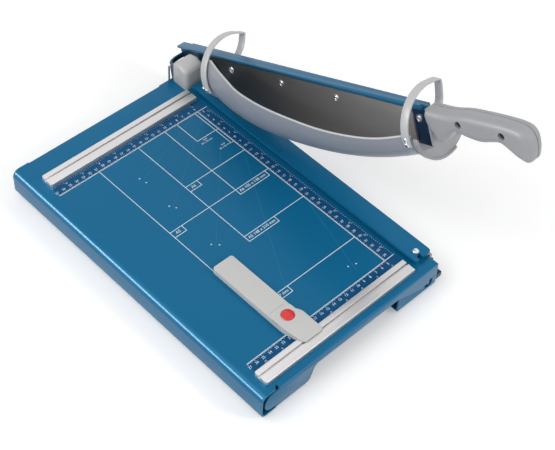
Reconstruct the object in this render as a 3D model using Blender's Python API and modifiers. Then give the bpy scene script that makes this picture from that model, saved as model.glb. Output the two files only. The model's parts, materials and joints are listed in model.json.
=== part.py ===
"""Guillotine paper cutter: table, rails, back gauge, clamp bar, blade arm, guard.

While it is built, X is 0 at the cutting edge and grows away from the table, Y is 0 at
the face that the paper stops against and grows away from the user, and Z is 0 on the
table top. The last step moves the whole cutter so that the middle of its base is the
origin. The blade arm is drawn as it lies when closed, round its pivot, and is then
raised. Units are metres.
"""
import math

import bmesh
import bpy
from mathutils import Matrix, Vector

MM = 0.001

# Shared clearances
GAP = 0.3 * MM
OVERRUN = 2 * MM
ROUND = 24

# Table: one folded sheet with a flange and foot lips at each end
CUT_TO_LEFT = 289 * MM
STOP_TO_BACK = 54 * MM
STOP_TO_FRONT = 390.6 * MM
SHEET = 2 * MM
SHEET_DROP = 38.5 * MM
FOOT_PAD = 3.5 * MM
SKIRT_DROP = 34 * MM
SKIRT_BEND = 3 * MM
SKIRT_NOTCH = 6.5 * MM
ROLL_TOP_RADIUS = 10 * MM
ROLL_LOW_RADIUS = 8 * MM
ROLL_RETURN = 23 * MM
FLANGE_GAP = 1 * MM
LEFT_FOOT_WIDTH = 50 * MM
RIGHT_FOOT_WIDTH = 66.5 * MM
ARCH_DROP = 13 * MM
ARCH_SLOPE = 8 * MM
FLANGE_FILLET = 5 * MM
LIP_WIDTH = 20 * MM
CORNER_CUT_X = 32.3 * MM
CORNER_CUT_Y = 34 * MM
BACK_FLANGE_SHORT = 51 * MM
SLOT_WIDTH = 3 * MM
SLOT_HEIGHT = 9 * MM
SLOT_FROM_EDGE = 11 * MM
SLOT_LOW = 4 * MM

# Rubber feet
FOOT_RADIUS = 8 * MM
FOOT_INSET = 26 * MM
FOOT_STUD_RADIUS = 2.5 * MM
FOOT_STUD_RISE = 2 * MM

# Lower blade and its bolts
LOWER_BLADE_THICK = 3.7 * MM
LOWER_BLADE_HEIGHT = 20 * MM
LOWER_BLADE_FRONT = 376 * MM
LOWER_BLADE_BACK = 15 * MM
BLADE_BOLT_COUNT = 4
BLADE_BOLT_DEPTH = 11 * MM
BLADE_BOLT_INSET = 36 * MM
BLADE_BOLT_RADIUS = 2.3 * MM
BLADE_BOLT_HEAD_RADIUS = 4.2 * MM
BLADE_BOLT_HEAD = 3 * MM
BLADE_BOLT_SKIN = 1 * MM

# Rails that the paper and the gauge run against
RAIL_WIDTH = 20 * MM
RAIL_HEIGHT = 6 * MM
RAIL_RIGHT = 37 * MM
BACK_RAIL_LEFT = 270 * MM
FRONT_RAIL_LEFT = 274 * MM
FRONT_RAIL_INSET = 9.1 * MM
RAIL_CORNER = 2.5 * MM
GROOVE_FROM_USER_SIDE = 12 * MM
GROOVE_WIDTH = 2.4 * MM
GROOVE_DEPTH = 3 * MM

# Clamp bar, its two guide pins and springs
BAR_WIDTH = 27 * MM
BAR_FROM_CUT = 2 * MM
BAR_FRONT = 376 * MM
BAR_BACK = 18 * MM
BAR_TOP = 8 * MM
BAR_SHEET = 1.5 * MM
BAR_LIFT = 4 * MM
BAR_CORNER = 6 * MM
BAR_NOTCH_WIDTH = 6.5 * MM
BAR_NOTCH_DEPTH = 7 * MM
BAR_NOTCH_FROM_CUT = 23 * MM
PIN_FROM_CUT = 17.3 * MM
PIN_FRONT_INSET = 11.6 * MM
PIN_BACK_INSET = 12 * MM
PIN_RADIUS = 2.4 * MM
PIN_HEAD_RADIUS = 4 * MM
PIN_HEAD_RISE = 2.2 * MM
PIN_TAIL_RADIUS = 3.4 * MM
PIN_TAIL = 1.8 * MM
CLAMP_SPRING_WIRE = 0.7 * MM
CLAMP_SPRING_TURNS = 3

# Pivot of the blade arm, with its bracket, shaft, bushes, washer and nut
PIVOT_BACK = 40 * MM
PIVOT_DEPTH = 18 * MM
SHAFT_RADIUS = 6 * MM
SHAFT_HEAD_RADIUS = 9 * MM
SHAFT_HEAD = 3 * MM
SHAFT_THREAD_OUT = 1.5 * MM
RUNNING_GAP = 0.3 * MM
BRACKET_PLATE = 4 * MM
BRACKET_WIDTH = 44 * MM
BRACKET_FRONT = 12 * MM
BRACKET_BRIDGE_BACK = 32 * MM
BRACKET_EYE_RADIUS = 12 * MM
BRACKET_NOSE = 16 * MM
BUSH_WALL = 1.7 * MM
BUSH_PROUD = 0.7 * MM
WASHER_RADIUS = 11 * MM
WASHER_THICK = 1.5 * MM
NUT_RADIUS = 10.5 * MM
NUT_THICK = 5 * MM

# Lifting spring round the shaft
LIFT_WIRE = 2.5 * MM
LIFT_COIL_RADIUS = 8.5 * MM
LIFT_PITCH = 3 * MM
LIFT_TURNS = 3
LIFT_COIL_LEFT = 44 * MM
LIFT_TAIL_BEHIND = 3 * MM
LIFT_TAIL_RISE = 20 * MM
LIFT_TAIL_BEND = 4 * MM
LIFT_FOOT_LENGTH = 22 * MM
LIFT_FOOT_RUN = 10 * MM

# Cover over the pivot
COVER_LEFT = 35 * MM
COVER_RIGHT = 3.3 * MM
COVER_FRONT = 22 * MM
COVER_BACK = 48 * MM
COVER_WALL = 2 * MM
COVER_FRONT_HEIGHT = 29 * MM
COVER_RIDGE_HEIGHT = 35 * MM
COVER_BACK_HEIGHT = 31 * MM
COVER_RIDGE_BACK = 36 * MM
COVER_LEAN = 1.5 * MM
COVER_ROUNDING = 3 * MM

# Front stop under the closed arm
STOP_LEDGE_LEFT = 0.6 * MM
STOP_LEDGE_WIDTH = 8.4 * MM
STOP_PLATE = 3 * MM
STOP_PLATE_HEIGHT = 7.5 * MM
STOP_PLATE_INSIDE = 30 * MM
STOP_LEDGE_LENGTH = 36 * MM
STOP_POST_BACK = 14 * MM
BUFFER_THICK = 3 * MM
BUFFER_MARGIN = 0.6 * MM

# Back gauge with its release button
GAUGE_LEFT = 212 * MM
GAUGE_WIDTH = 30 * MM
GAUGE_BACK = 225 * MM
GAUGE_FRONT = 371.5 * MM
GAUGE_TOP = 8 * MM
GAUGE_HEAD_TOP = 9.5 * MM
GAUGE_HEAD_LENGTH = 54 * MM
GAUGE_HEAD_FLARE = 4 * MM
GAUGE_FLARE_LENGTH = 30 * MM
GAUGE_CORNER = 3 * MM
SHOE_LENGTH = 20 * MM
SHOE_FROM_LEFT = 5 * MM
BUTTON_RADIUS = 8 * MM
BUTTON_FROM_LEFT = 17 * MM
BUTTON_FROM_FRONT = 39.5 * MM
BUTTON_TOP = 11.3 * MM
BUTTON_THICK = 5.4 * MM
BUTTON_EDGE = 0.8 * MM
BORE_FLOOR = 1.6 * MM
BUTTON_SPRING_WIRE = 0.8 * MM
BUTTON_SPRING_RADIUS = 5 * MM
BUTTON_SPRING_TURNS = 2

# Blade arm: distances ahead of the pivot (towards the user) and above it
ARM_ANGLE = math.radians(24)
FLANGE_LEFT = 1 * MM
FLANGE_WIDTH = 14 * MM
FLANGE_REAR_WIDTH = 12.2 * MM
FLANGE_REAR_LENGTH = 18 * MM
FLANGE_THICK = 3 * MM
FLANGE_HEIGHT = 51.2 * MM
FLANGE_BEHIND = 21 * MM
ARM_END = 427 * MM
ARM_END_SLOPE = 5 * MM
WEB_LEFT = 3.1 * MM
WEB_THICK = 3 * MM
WEB_LOW = 15 * MM
WEB_FOOT_LENGTH = 24 * MM
WEB_FOOT_HEIGHT = 1.2 * MM
WEB_FOOT_SLOPE = 8 * MM
EYE_RADIUS = 12.5 * MM
YOKE_LEFT = 31 * MM
YOKE_THICK = 3 * MM
YOKE_BEHIND = 21 * MM
YOKE_LOW = 34 * MM
YOKE_HEIGHT = 6 * MM
YOKE_BEND = 25 * MM
EAR_AHEAD = 5.4 * MM
EAR_BEHIND = 4 * MM
TANG_LOW = 40.2 * MM
TANG_HEIGHT = 13 * MM
TANG_SHORT = 24 * MM
LUG_LENGTH = 9 * MM
LUG_REACH = 9 * MM
LUG_HEIGHT = 11 * MM
LUG_SIDE_GAP = 1.4 * MM

# Upper blade with its screws
BLADE_LEFT = 0.3 * MM
BLADE_THICK = 2.5 * MM
BLADE_START = 36 * MM
BLADE_END = 404 * MM
BLADE_END_HEIGHT = 4.2 * MM
BLADE_BELLY = 24 * MM
BLADE_STEPS = 28
SCREW_ALONG = (86 * MM, 183 * MM, 281 * MM, 411 * MM)
SCREW_HEIGHT = 34.5 * MM
SCREW_RADIUS = 2.5 * MM
SCREW_HEAD_RADIUS = 4 * MM
SCREW_HEAD = 0.9 * MM
SCREW_END = 0.8 * MM

# Guard axis, shell, hoops, rivets and pins
GUARD_AXIS_X = 10.5 * MM
GUARD_AXIS_HEIGHT = 29.7 * MM
GUARD_START = 68.4 * MM
GUARD_END = 425 * MM
GUARD_WALL = 1.6 * MM
GUARD_REAR_RADIUS = 43.5 * MM
GUARD_FRONT_RADIUS = 39.2 * MM
GUARD_BELLY_RADIUS = 66 * MM
GUARD_BELLY_AT = 234 * MM
GUARD_BELLY_REAR = 155 * MM
GUARD_BELLY_FRONT = 178 * MM
GUARD_BELLY_POWER = 2.4
GUARD_RIM_DEGREES = ((0.0, 141), (0.03, 140), (0.06, 144), (0.12, 152), (0.18, 159), (0.24, 166.5),
                     (0.34, 173), (0.43, 177), (0.55, 181), (0.65, 184.5), (0.78, 187.5), (0.85, 188),
                     (0.9, 186.5), (0.96, 182), (1.0, 178))
GUARD_TAIL_DEGREES = ((0.0, 208), (0.1, 226), (0.2, 243), (0.3, 258), (0.4, 271), (0.5, 283),
                      (0.6, 290), (1.0, 291))
GUARD_GRID = (30, 14)
HOOP_THICK = 2 * MM
HOOP_WIDTH = 11 * MM
HOOP_START_DEGREES = 197
HOOP_STEP_DEGREES = 6
REAR_HOOP_RADIUS = 46 * MM
REAR_HOOP_TIP = 57
REAR_HOOP_LEG = ((0.655, 0.79), (0.61, 0.68), (0.545, 0.54), (0.43, 0.39), (0.27, 0.245), (0.04, 0.03))
FRONT_HOOP_RADIUS = 41 * MM
FRONT_HOOP_TALL = 1.1
FRONT_HOOP_TIP = 82
FRONT_HOOP_LEG = ((0.43, 1.04), (0.535, 0.965), (0.51, 0.7), (0.45, 0.43), (0.34, 0.25), (0.195, 0.142),
                  (0.037, 0.027))
HOOP_EYE_RADIUS = 3.9 * MM
REAR_HOOP_START = 67.5 * MM
FRONT_HOOP_START = 415 * MM
GUARD_PIN_RADIUS = 2 * MM
GUARD_PIN_HEAD_RADIUS = 3.4 * MM
GUARD_PIN_HEAD = 1.5 * MM
RIVET_RADIUS = 1.5 * MM
RIVET_HEAD_RADIUS = 2.8 * MM
RIVET_HEAD = 1.3 * MM
RIVETS = (("rear", 191, 0.5), ("front", 183, 0.5), ("front", 193, 0.5))

# Hand guard and handle
HAND_GUARD_START = 431.2 * MM
HAND_GUARD_RADIUS = 41 * MM
HAND_GUARD_LIP = 1.3 * MM
HAND_GUARD_PLATE = 2.5 * MM
HAND_GUARD_DEPTH = 6.3 * MM
HAND_GUARD_RIM = 2.2 * MM
HAND_GUARD_DEGREES = (180, 292, 322)
HAND_GUARD_CHORD_DEGREES = 202
HAND_GUARD_CHORD_HEIGHT = 8 * MM
HAND_GUARD_TAB_LEFT = 6 * MM
HAND_GUARD_TAB_WIDTH = 22 * MM
HAND_GUARD_TAB_TOP = 55 * MM
HANDLE_LENGTH = 140 * MM
HANDLE_LOW = 17.2 * MM
HANDLE_HEIGHT = 45 * MM
HANDLE_LEFT_WIDTH = 15.4 * MM
HANDLE_RIGHT_WIDTH = 9.4 * MM
HANDLE_ROUNDING = 6 * MM
HANDLE_SHARES = ((0.0, 0.88), (0.207, 0.889), (0.393, 0.978), (0.586, 1.0), (0.771, 1.0),
                 (0.914, 0.956), (0.979, 0.822), (1.0, 0.622), (0.993, 0.333), (0.958, 0.09),
                 (0.871, 0.156), (0.786, 0.311), (0.714, 0.422), (0.621, 0.378), (0.521, 0.311),
                 (0.4, 0.333), (0.329, 0.378), (0.255, 0.38), (0.193, 0.22), (0.13, 0.03),
                 (0.071, 0.0), (0.03, 0.2), (0.008, 0.5))
HANDLE_SCREW_SHARES = ((0.336, 0.70), (0.757, 0.70))
HANDLE_SCREW_RADIUS = 2.2 * MM
HANDLE_SCREW_HEAD_RADIUS = 4 * MM
HANDLE_SCREW_HEAD = 2.5 * MM
HANDLE_SCREW_SINK = 3 * MM
HANDLE_SCREW_BITE = 6.5 * MM

# Places that follow from the sizes above
TABLE_RIGHT = -(LOWER_BLADE_THICK + GAP)
FLOOR = -SHEET_DROP - FOOT_PAD
BAR_RIGHT = -BAR_FROM_CUT
BAR_LEFT = BAR_RIGHT - BAR_WIDTH
PIVOT = Vector((0, PIVOT_BACK, -PIVOT_DEPTH))
WEB_RIGHT = WEB_LEFT + WEB_THICK
WEB_MIDDLE = WEB_LEFT + WEB_THICK / 2
BUSH_RADIUS = SHAFT_RADIUS + RUNNING_GAP + BUSH_WALL
CHEEK_RIGHT = TABLE_RIGHT - SKIRT_BEND - GAP
CHEEK_LEFT = CHEEK_RIGHT - BRACKET_WIDTH + BRACKET_PLATE
FRONT_RAIL_FRONT = -STOP_TO_FRONT + FRONT_RAIL_INSET
FRONT_RAIL_BACK = FRONT_RAIL_FRONT + RAIL_WIDTH
FLANGE_LEFT_END = -CUT_TO_LEFT + ROLL_RETURN + FLANGE_GAP

PARTS = "paper_cutter"
CUTTERS = "cutters"


def collection(name):
    """Return the collection of that name, made when it is first asked for."""
    found = bpy.data.collections.get(name)
    if found is None:
        found = bpy.data.collections.new(name)
        bpy.context.scene.collection.children.link(found)
    return found


def material(name, colour, roughness, metallic=0.0):
    """Make a Principled material."""
    made = bpy.data.materials.new(name)
    made.use_nodes = True
    shader = made.node_tree.nodes["Principled BSDF"]
    shader.inputs["Base Color"].default_value = (*colour, 1)
    shader.inputs["Roughness"].default_value = roughness
    shader.inputs["Metallic"].default_value = metallic
    return made


def empty(name, place, parent=None, turn=0.0):
    """Make an empty on a joint's axis; turn is about X."""
    made = bpy.data.objects.new(name, None)
    made.location = place
    made.rotation_euler = (turn, 0, 0)
    made.parent = parent
    collection(PARTS).objects.link(made)
    return made


def part(name, mesh, finish, parent):
    """Make a named sub-part from a mesh."""
    made = bpy.data.objects.new(name, mesh)
    mesh.name = name
    mesh.materials.clear()
    mesh.materials.append(finish)
    mesh.shade_smooth()
    mesh.set_sharp_from_angle(angle=math.radians(35))
    made.parent = parent
    collection(PARTS).objects.link(made)
    return made


def boolean(body, mesh, operation):
    """Join to a sub-part, or cut from it, the solid of a mesh in the same frame."""
    tool = bpy.data.objects.new(body.name + "_" + operation.lower(), mesh)
    tool.parent = body.parent
    tool.location = body.location
    tool.hide_render = True
    tool.display_type = "WIRE"
    collection(CUTTERS).objects.link(tool)
    step = body.modifiers.new(operation.title(), "BOOLEAN")
    step.operation = operation
    step.solver = "EXACT"
    step.object = tool


def cut(body, *meshes):
    """Cut each solid from a sub-part."""
    for mesh in meshes:
        boolean(body, mesh, "DIFFERENCE")


def join(body, *meshes):
    """Join each solid to a sub-part."""
    for mesh in meshes:
        boolean(body, mesh, "UNION")


def arc(centre, radius, start, end, step=15):
    """Points on an arc, both ends included; angles in degrees."""
    count = max(2, math.ceil(abs(end - start) / step))
    angles = [math.radians(start + (end - start) * i / count) for i in range(count + 1)]
    return [(centre[0] + radius * math.cos(a), centre[1] + radius * math.sin(a)) for a in angles]


def rounded(corners, radius, steps=4):
    """Round each corner of a closed outline; radius is one size or one for each corner."""
    radii = radius if isinstance(radius, (list, tuple)) else [radius] * len(corners)
    outline = []
    for i, corner in enumerate(corners):
        here = Vector(corner)
        before = (Vector(corners[i - 1]) - here)
        after = (Vector(corners[(i + 1) % len(corners)]) - here)
        if radii[i] == 0:
            outline.append(tuple(here))
            continue
        half = before.angle(after) / 2
        reach = min(radii[i] / math.tan(half), before.length / 2, after.length / 2)
        first, last = here + before.normalized() * reach, here + after.normalized() * reach
        for k in range(steps + 1):
            t = k / steps
            outline.append(tuple(first * (1 - t) ** 2 + here * (2 * t * (1 - t)) + last * t ** 2))
    return outline


def band(path, thickness):
    """Outline of a strip on the left of an open path."""
    points = [Vector(p) for p in path]
    inner = []
    for i, here in enumerate(points):
        ways = []
        if i > 0:
            ways.append((here - points[i - 1]).normalized())
        if i < len(points) - 1:
            ways.append((points[i + 1] - here).normalized())
        normals = [Vector((-w.y, w.x)) for w in ways]
        middle = sum(normals, Vector((0, 0))).normalized()
        inner.append(tuple(here + middle * (thickness / middle.dot(normals[0]))))
    return [tuple(p) for p in points] + inner[::-1]


def smooth_path(points, steps=3):
    """A smooth open path through points."""
    made = []
    pts = [Vector(p) for p in points]
    pts = [pts[0] * 2 - pts[1]] + pts + [pts[-1] * 2 - pts[-2]]
    for i in range(1, len(pts) - 2):
        a, b, c, d = pts[i - 1:i + 3]
        for k in range(steps):
            t = k / steps
            made.append(tuple((b * 2 + (c - a) * t + (a * 2 - b * 5 + c * 4 - d) * t ** 2
                               + (b * 3 - a - c * 3 + d) * t ** 3) / 2))
    return made + [tuple(pts[-2])]


AXES = {
    "X": Matrix(((0, 0, 1, 0), (1, 0, 0, 0), (0, 1, 0, 0), (0, 0, 0, 1))),
    "Y": Matrix(((1, 0, 0, 0), (0, 0, -1, 0), (0, 1, 0, 0), (0, 0, 0, 1))),
    "Z": Matrix.Identity(4),
}


def plate(outline, axis, low, high, smooth=0):
    """Flat outline given thickness from low to high along an axis.

    The outline is in the other two axes, in X, Y, Z order. With smooth it is a curve
    through its points, with that many steps from one to the next.
    """
    curve = bpy.data.curves.new("outline", "CURVE")
    curve.dimensions = "2D"
    curve.fill_mode = "BOTH"
    curve.extrude = abs(high - low) / 2
    if smooth:
        curve.resolution_u = smooth
        spline = curve.splines.new("BEZIER")
        spline.bezier_points.add(len(outline) - 1)
        for point, place in zip(spline.bezier_points, outline):
            point.co = (*place, 0)
            point.handle_left_type = point.handle_right_type = "AUTO"
    else:
        spline = curve.splines.new("POLY")
        spline.points.add(len(outline) - 1)
        for point, place in zip(spline.points, outline):
            point.co = (*place, 0, 1)
    spline.use_cyclic_u = True
    guide = bpy.data.objects.new("outline", curve)
    bpy.context.scene.collection.objects.link(guide)
    bpy.context.view_layer.update()
    mesh = bpy.data.meshes.new_from_object(guide.evaluated_get(bpy.context.evaluated_depsgraph_get()))
    bpy.data.objects.remove(guide)
    middle = (low + high) / 2
    turn = AXES[axis] @ Matrix.Translation((0, 0, -middle if axis == "Y" else middle))
    shape = bmesh.new()
    shape.from_mesh(mesh)
    bmesh.ops.remove_doubles(shape, verts=shape.verts, dist=GAP / 30)
    bmesh.ops.dissolve_limit(shape, angle_limit=math.radians(0.1), verts=shape.verts, edges=shape.edges)
    bmesh.ops.transform(shape, matrix=turn, verts=shape.verts)
    return closed(shape, mesh)


def closed(shape, mesh=None):
    """Write a closed bmesh to a mesh with its faces pointing out."""
    bmesh.ops.recalc_face_normals(shape, faces=shape.faces)
    mesh = mesh or bpy.data.meshes.new("solid")
    shape.to_mesh(mesh)
    shape.free()
    return mesh


def box(low, high):
    """Box between two corners."""
    shape = bmesh.new()
    bmesh.ops.create_cube(shape, size=1)
    size = [abs(b - a) for a, b in zip(low, high)]
    centre = [(a + b) / 2 for a, b in zip(low, high)]
    bmesh.ops.transform(shape, matrix=Matrix.LocRotScale(centre, None, size), verts=shape.verts)
    return closed(shape)


def rod(axis, centre, low, high, radius, sides=ROUND):
    """Round bar along an axis; centre is in the other two axes."""
    shape = bmesh.new()
    bmesh.ops.create_cone(shape, cap_ends=True, segments=sides, radius1=radius, radius2=radius,
                          depth=abs(high - low))
    middle = (low + high) / 2
    place = Matrix.Translation((*centre, -middle if axis == "Y" else middle))
    bmesh.ops.transform(shape, matrix=AXES[axis] @ place, verts=shape.verts)
    return closed(shape)


def turned(profile, place=None, sides=ROUND):
    """Solid of revolution about Z from (radius, height) points that run down its outer side."""
    shape = bmesh.new()
    verts = [shape.verts.new((r, 0, z)) for r, z in profile]
    for a, b in zip(verts, verts[1:]):
        shape.edges.new((a, b))
    mesh = bpy.data.meshes.new("profile")
    shape.to_mesh(mesh)
    shape.free()
    guide = bpy.data.objects.new("profile", mesh)
    bpy.context.scene.collection.objects.link(guide)
    screw = guide.modifiers.new("Screw", "SCREW")
    screw.steps = screw.render_steps = sides
    screw.use_merge_vertices = True
    screw.merge_threshold = GAP / 30
    bpy.context.view_layer.update()
    solid = bpy.data.meshes.new_from_object(guide.evaluated_get(bpy.context.evaluated_depsgraph_get()))
    bpy.data.objects.remove(guide)
    shape = bmesh.new()
    shape.from_mesh(solid)
    bmesh.ops.remove_doubles(shape, verts=shape.verts, dist=GAP / 30)
    if place:
        bmesh.ops.transform(shape, matrix=place, verts=shape.verts)
    return closed(shape, solid)


def wire(name, points, radius, finish, parent):
    """Round wire along points, as a curve with filled caps."""
    curve = bpy.data.curves.new(name, "CURVE")
    curve.dimensions = "3D"
    curve.bevel_depth = radius
    curve.bevel_resolution = 1
    curve.use_fill_caps = True
    spline = curve.splines.new("POLY")
    spline.points.add(len(points) - 1)
    for point, place in zip(spline.points, points):
        point.co = (*place, 1)
    curve.materials.append(finish)
    made = bpy.data.objects.new(name, curve)
    made.parent = parent
    collection(PARTS).objects.link(made)
    return made


def coil(centre, radius, low, high, turns, per_turn=9):
    """Points of an upright helix."""
    count = round(turns * per_turn)
    made = []
    for i in range(count + 1):
        angle = 2 * math.pi * i / per_turn
        height = low + (high - low) * i / count
        made.append((centre[0] + radius * math.cos(angle), centre[1] + radius * math.sin(angle), height))
    return made


def report_self_gap(name, pitch, wire_size):
    """Print the least gap between neighbouring curls."""
    print(f"{name}: least gap to itself {(pitch - wire_size) / MM:.2f} mm")


def end_flange(y_low, y_high, right, foot_inward, finish, owner):
    """Join an end flange and its foot lips to the table."""
    left = FLANGE_LEFT_END
    low, top = -SHEET_DROP, -SHEET / 2
    foot_left = left + LEFT_FOOT_WIDTH
    foot_right = right - RIGHT_FOOT_WIDTH
    corners = [(left, top), (left, low), (foot_left, low), (foot_left + ARCH_SLOPE, -ARCH_DROP),
               (foot_right, -ARCH_DROP), (foot_right, low), (right, low), (right, top)]
    fillets = [0, FLANGE_FILLET / 2, FLANGE_FILLET, FLANGE_FILLET, FLANGE_FILLET / 4, FLANGE_FILLET / 4,
               FLANGE_FILLET / 2, 0]
    join(owner, plate(rounded(corners, fillets), "Y", y_low, y_high))
    inner = y_high if foot_inward > 0 else y_low
    for a, b in ((left, foot_left), (foot_right, right)):
        join(owner, box((a + FLANGE_FILLET, inner - foot_inward * SHEET / 2, low),
                        (b - FLANGE_FILLET, inner + foot_inward * LIP_WIDTH, low + SHEET)))


def foot_places():
    """Centres of the four feet."""
    front = -STOP_TO_FRONT + SHEET + LIP_WIDTH / 2
    back = STOP_TO_BACK - SHEET - LIP_WIDTH / 2
    left = FLANGE_LEFT_END + FOOT_INSET
    return ((left, front), (TABLE_RIGHT - FOOT_INSET, front),
            (left, back), (TABLE_RIGHT - BACK_FLANGE_SHORT - FOOT_INSET, back))


def pin_places():
    """Centres of the two clamp pins."""
    return ((-PIN_FROM_CUT, -BAR_FRONT + PIN_FRONT_INSET), (-PIN_FROM_CUT, BAR_BACK - PIN_BACK_INSET))


def blade_bolt_places():
    """Distances along Y of the lower blade's bolts."""
    first = -LOWER_BLADE_FRONT + BLADE_BOLT_INSET
    last = BRACKET_FRONT - BLADE_BOLT_INSET / 2
    return [first + (last - first) * i / (BLADE_BOLT_COUNT - 1) for i in range(BLADE_BOLT_COUNT)]


def build_table(finish, root):
    """Folded table sheet."""
    left = -CUT_TO_LEFT
    bend = SKIRT_BEND
    path = [(TABLE_RIGHT, -SKIRT_DROP)]
    path += arc((TABLE_RIGHT - bend, -bend), bend, 0, 90, 45)
    path += arc((left + ROLL_TOP_RADIUS, -ROLL_TOP_RADIUS), ROLL_TOP_RADIUS, 90, 180)
    path += arc((left + ROLL_LOW_RADIUS, -SHEET_DROP + ROLL_LOW_RADIUS), ROLL_LOW_RADIUS, 180, 270)
    path += [(left + ROLL_RETURN, -SHEET_DROP)]
    table = part("table_plate", plate(band(path, SHEET), "Y", -STOP_TO_FRONT, STOP_TO_BACK), finish, root)
    cut(table, box((-CORNER_CUT_X, CORNER_CUT_Y, FLOOR), (OVERRUN, STOP_TO_BACK + OVERRUN, OVERRUN)))
    cut(table, box((TABLE_RIGHT - SHEET - GAP, -STOP_TO_FRONT - OVERRUN, FLOOR),
                   (OVERRUN, -STOP_TO_FRONT + SKIRT_NOTCH, -SHEET - SKIRT_BEND)))
    inset = GAP / 10
    end_flange(-STOP_TO_FRONT + inset, -STOP_TO_FRONT + SHEET, TABLE_RIGHT - inset, 1, finish, table)
    end_flange(STOP_TO_BACK - SHEET, STOP_TO_BACK - inset, TABLE_RIGHT - BACK_FLANGE_SHORT, -1, finish, table)
    slot_right = TABLE_RIGHT - SLOT_FROM_EDGE
    slot_low = -SHEET_DROP + SLOT_LOW
    cut(table, box((slot_right - SLOT_WIDTH, -STOP_TO_FRONT - OVERRUN, slot_low),
                   (slot_right, -STOP_TO_FRONT + SHEET + OVERRUN, slot_low + SLOT_HEIGHT)))
    for place in foot_places():
        cut(table, rod("Z", place, -SHEET_DROP - OVERRUN, -SHEET_DROP + SHEET + OVERRUN,
                       FOOT_STUD_RADIUS + GAP))
    for place in pin_places():
        cut(table, rod("Z", place, -SHEET - OVERRUN, OVERRUN, PIN_RADIUS + GAP))
    for y in blade_bolt_places():
        cut(table, rod("X", (y, -BLADE_BOLT_DEPTH), TABLE_RIGHT - SHEET - OVERRUN, TABLE_RIGHT + OVERRUN,
                       BLADE_BOLT_RADIUS + GAP))
    return table


def build_feet(finish, root):
    """Rubber feet pressed into the foot lips."""
    top = -SHEET_DROP - GAP
    stud_top = -SHEET_DROP + SHEET + FOOT_STUD_RISE
    for i, place in enumerate(foot_places(), 1):
        profile = [(0, stud_top), (FOOT_STUD_RADIUS, stud_top), (FOOT_STUD_RADIUS, top),
                   (FOOT_RADIUS, top), (FOOT_RADIUS, FLOOR), (0, FLOOR)]
        part(f"rubber_foot_{i}", turned(profile, Matrix.Translation((*place, 0))), finish, root)


def build_lower_blade(steel, bolt_finish, root):
    """Lower blade on the table's right skirt, with its bolts."""
    blade = part("lower_blade", box((-LOWER_BLADE_THICK, -LOWER_BLADE_FRONT, -LOWER_BLADE_HEIGHT),
                                    (0, LOWER_BLADE_BACK, 0)), steel, root)
    under = TABLE_RIGHT - SHEET - GAP
    tip = -BLADE_BOLT_SKIN - GAP
    for i, y in enumerate(blade_bolt_places(), 1):
        place = (y, -BLADE_BOLT_DEPTH)
        cut(blade, rod("X", place, -LOWER_BLADE_THICK - OVERRUN, tip + GAP, BLADE_BOLT_RADIUS + GAP))
        bolt = part(f"lower_blade_bolt_{i}", rod("X", place, under - GAP, tip, BLADE_BOLT_RADIUS, 16),
                    bolt_finish, root)
        join(bolt, rod("X", place, under - BLADE_BOLT_HEAD, under, BLADE_BOLT_HEAD_RADIUS, 6))


def rail(name, left, front, finish, root):
    """One grooved rail with its left end rounded."""
    corners = [(-left, front), (-RAIL_RIGHT, front), (-RAIL_RIGHT, front + RAIL_WIDTH),
               (-left, front + RAIL_WIDTH)]
    outline = rounded(corners, [RAIL_CORNER, 0, 0, RAIL_CORNER])
    top = GAP + RAIL_HEIGHT
    made = part(name, plate(outline, "Z", GAP, top), finish, root)
    groove = front + GROOVE_FROM_USER_SIDE
    cut(made, box((-left - OVERRUN, groove - GROOVE_WIDTH / 2, top - GROOVE_DEPTH),
                  (-RAIL_RIGHT + OVERRUN, groove + GROOVE_WIDTH / 2, top + OVERRUN)))


def build_clamp(bar_finish, chrome, steel, root, clamp):
    """Clamp bar with its guide pins and springs."""
    corners = [(BAR_LEFT, -BAR_FRONT), (BAR_RIGHT, -BAR_FRONT), (BAR_RIGHT, BAR_BACK), (BAR_LEFT, BAR_BACK)]
    low = BAR_LIFT + GAP
    bar = part("clamp_bar", plate(rounded(corners, [BAR_CORNER / 3, BAR_CORNER, 0, 0]), "Z", low, BAR_TOP),
               bar_finish, clamp)
    wall = BAR_SHEET
    cut(bar, box((BAR_LEFT + wall, -BAR_FRONT + BAR_CORNER, low - OVERRUN),
                 (BAR_RIGHT - wall, BAR_BACK + OVERRUN, BAR_TOP - wall)))
    notch = -BAR_NOTCH_FROM_CUT
    cut(bar, box((notch, -BAR_FRONT - OVERRUN, low - OVERRUN),
                 (notch + BAR_NOTCH_WIDTH, -BAR_FRONT + BAR_NOTCH_DEPTH, BAR_TOP + OVERRUN)))
    for i, place in enumerate(pin_places(), 1):
        cut(bar, rod("Z", place, low - OVERRUN, BAR_TOP + OVERRUN, PIN_RADIUS + GAP))
        cut(bar, rod("Z", place, low - OVERRUN, BAR_TOP - wall, PIN_HEAD_RADIUS + wall))
        head = BAR_TOP + GAP
        dome = [(PIN_HEAD_RADIUS * math.sin(a), head + PIN_HEAD_RISE * math.cos(a))
                for a in (math.radians(d) for d in (0, 25, 50, 75))]
        tail = -SHEET - GAP
        profile = dome + [(PIN_HEAD_RADIUS, head), (PIN_RADIUS, head), (PIN_RADIUS, tail),
                          (PIN_TAIL_RADIUS, tail), (PIN_TAIL_RADIUS, tail - PIN_TAIL), (0, tail - PIN_TAIL)]
        part(f"clamp_pin_{i}", turned(profile, Matrix.Translation((*place, 0)), 20), chrome, root)
        half = CLAMP_SPRING_WIRE / 2
        first, last = GAP + half, BAR_TOP - wall - GAP - half
        wire(f"clamp_spring_{i}", coil(place, PIN_RADIUS + GAP + CLAMP_SPRING_WIRE, first, last,
                                       CLAMP_SPRING_TURNS), half, steel, root)
        if i == 1:
            report_self_gap("clamp spring", (last - first) / CLAMP_SPRING_TURNS, CLAMP_SPRING_WIRE)


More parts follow.
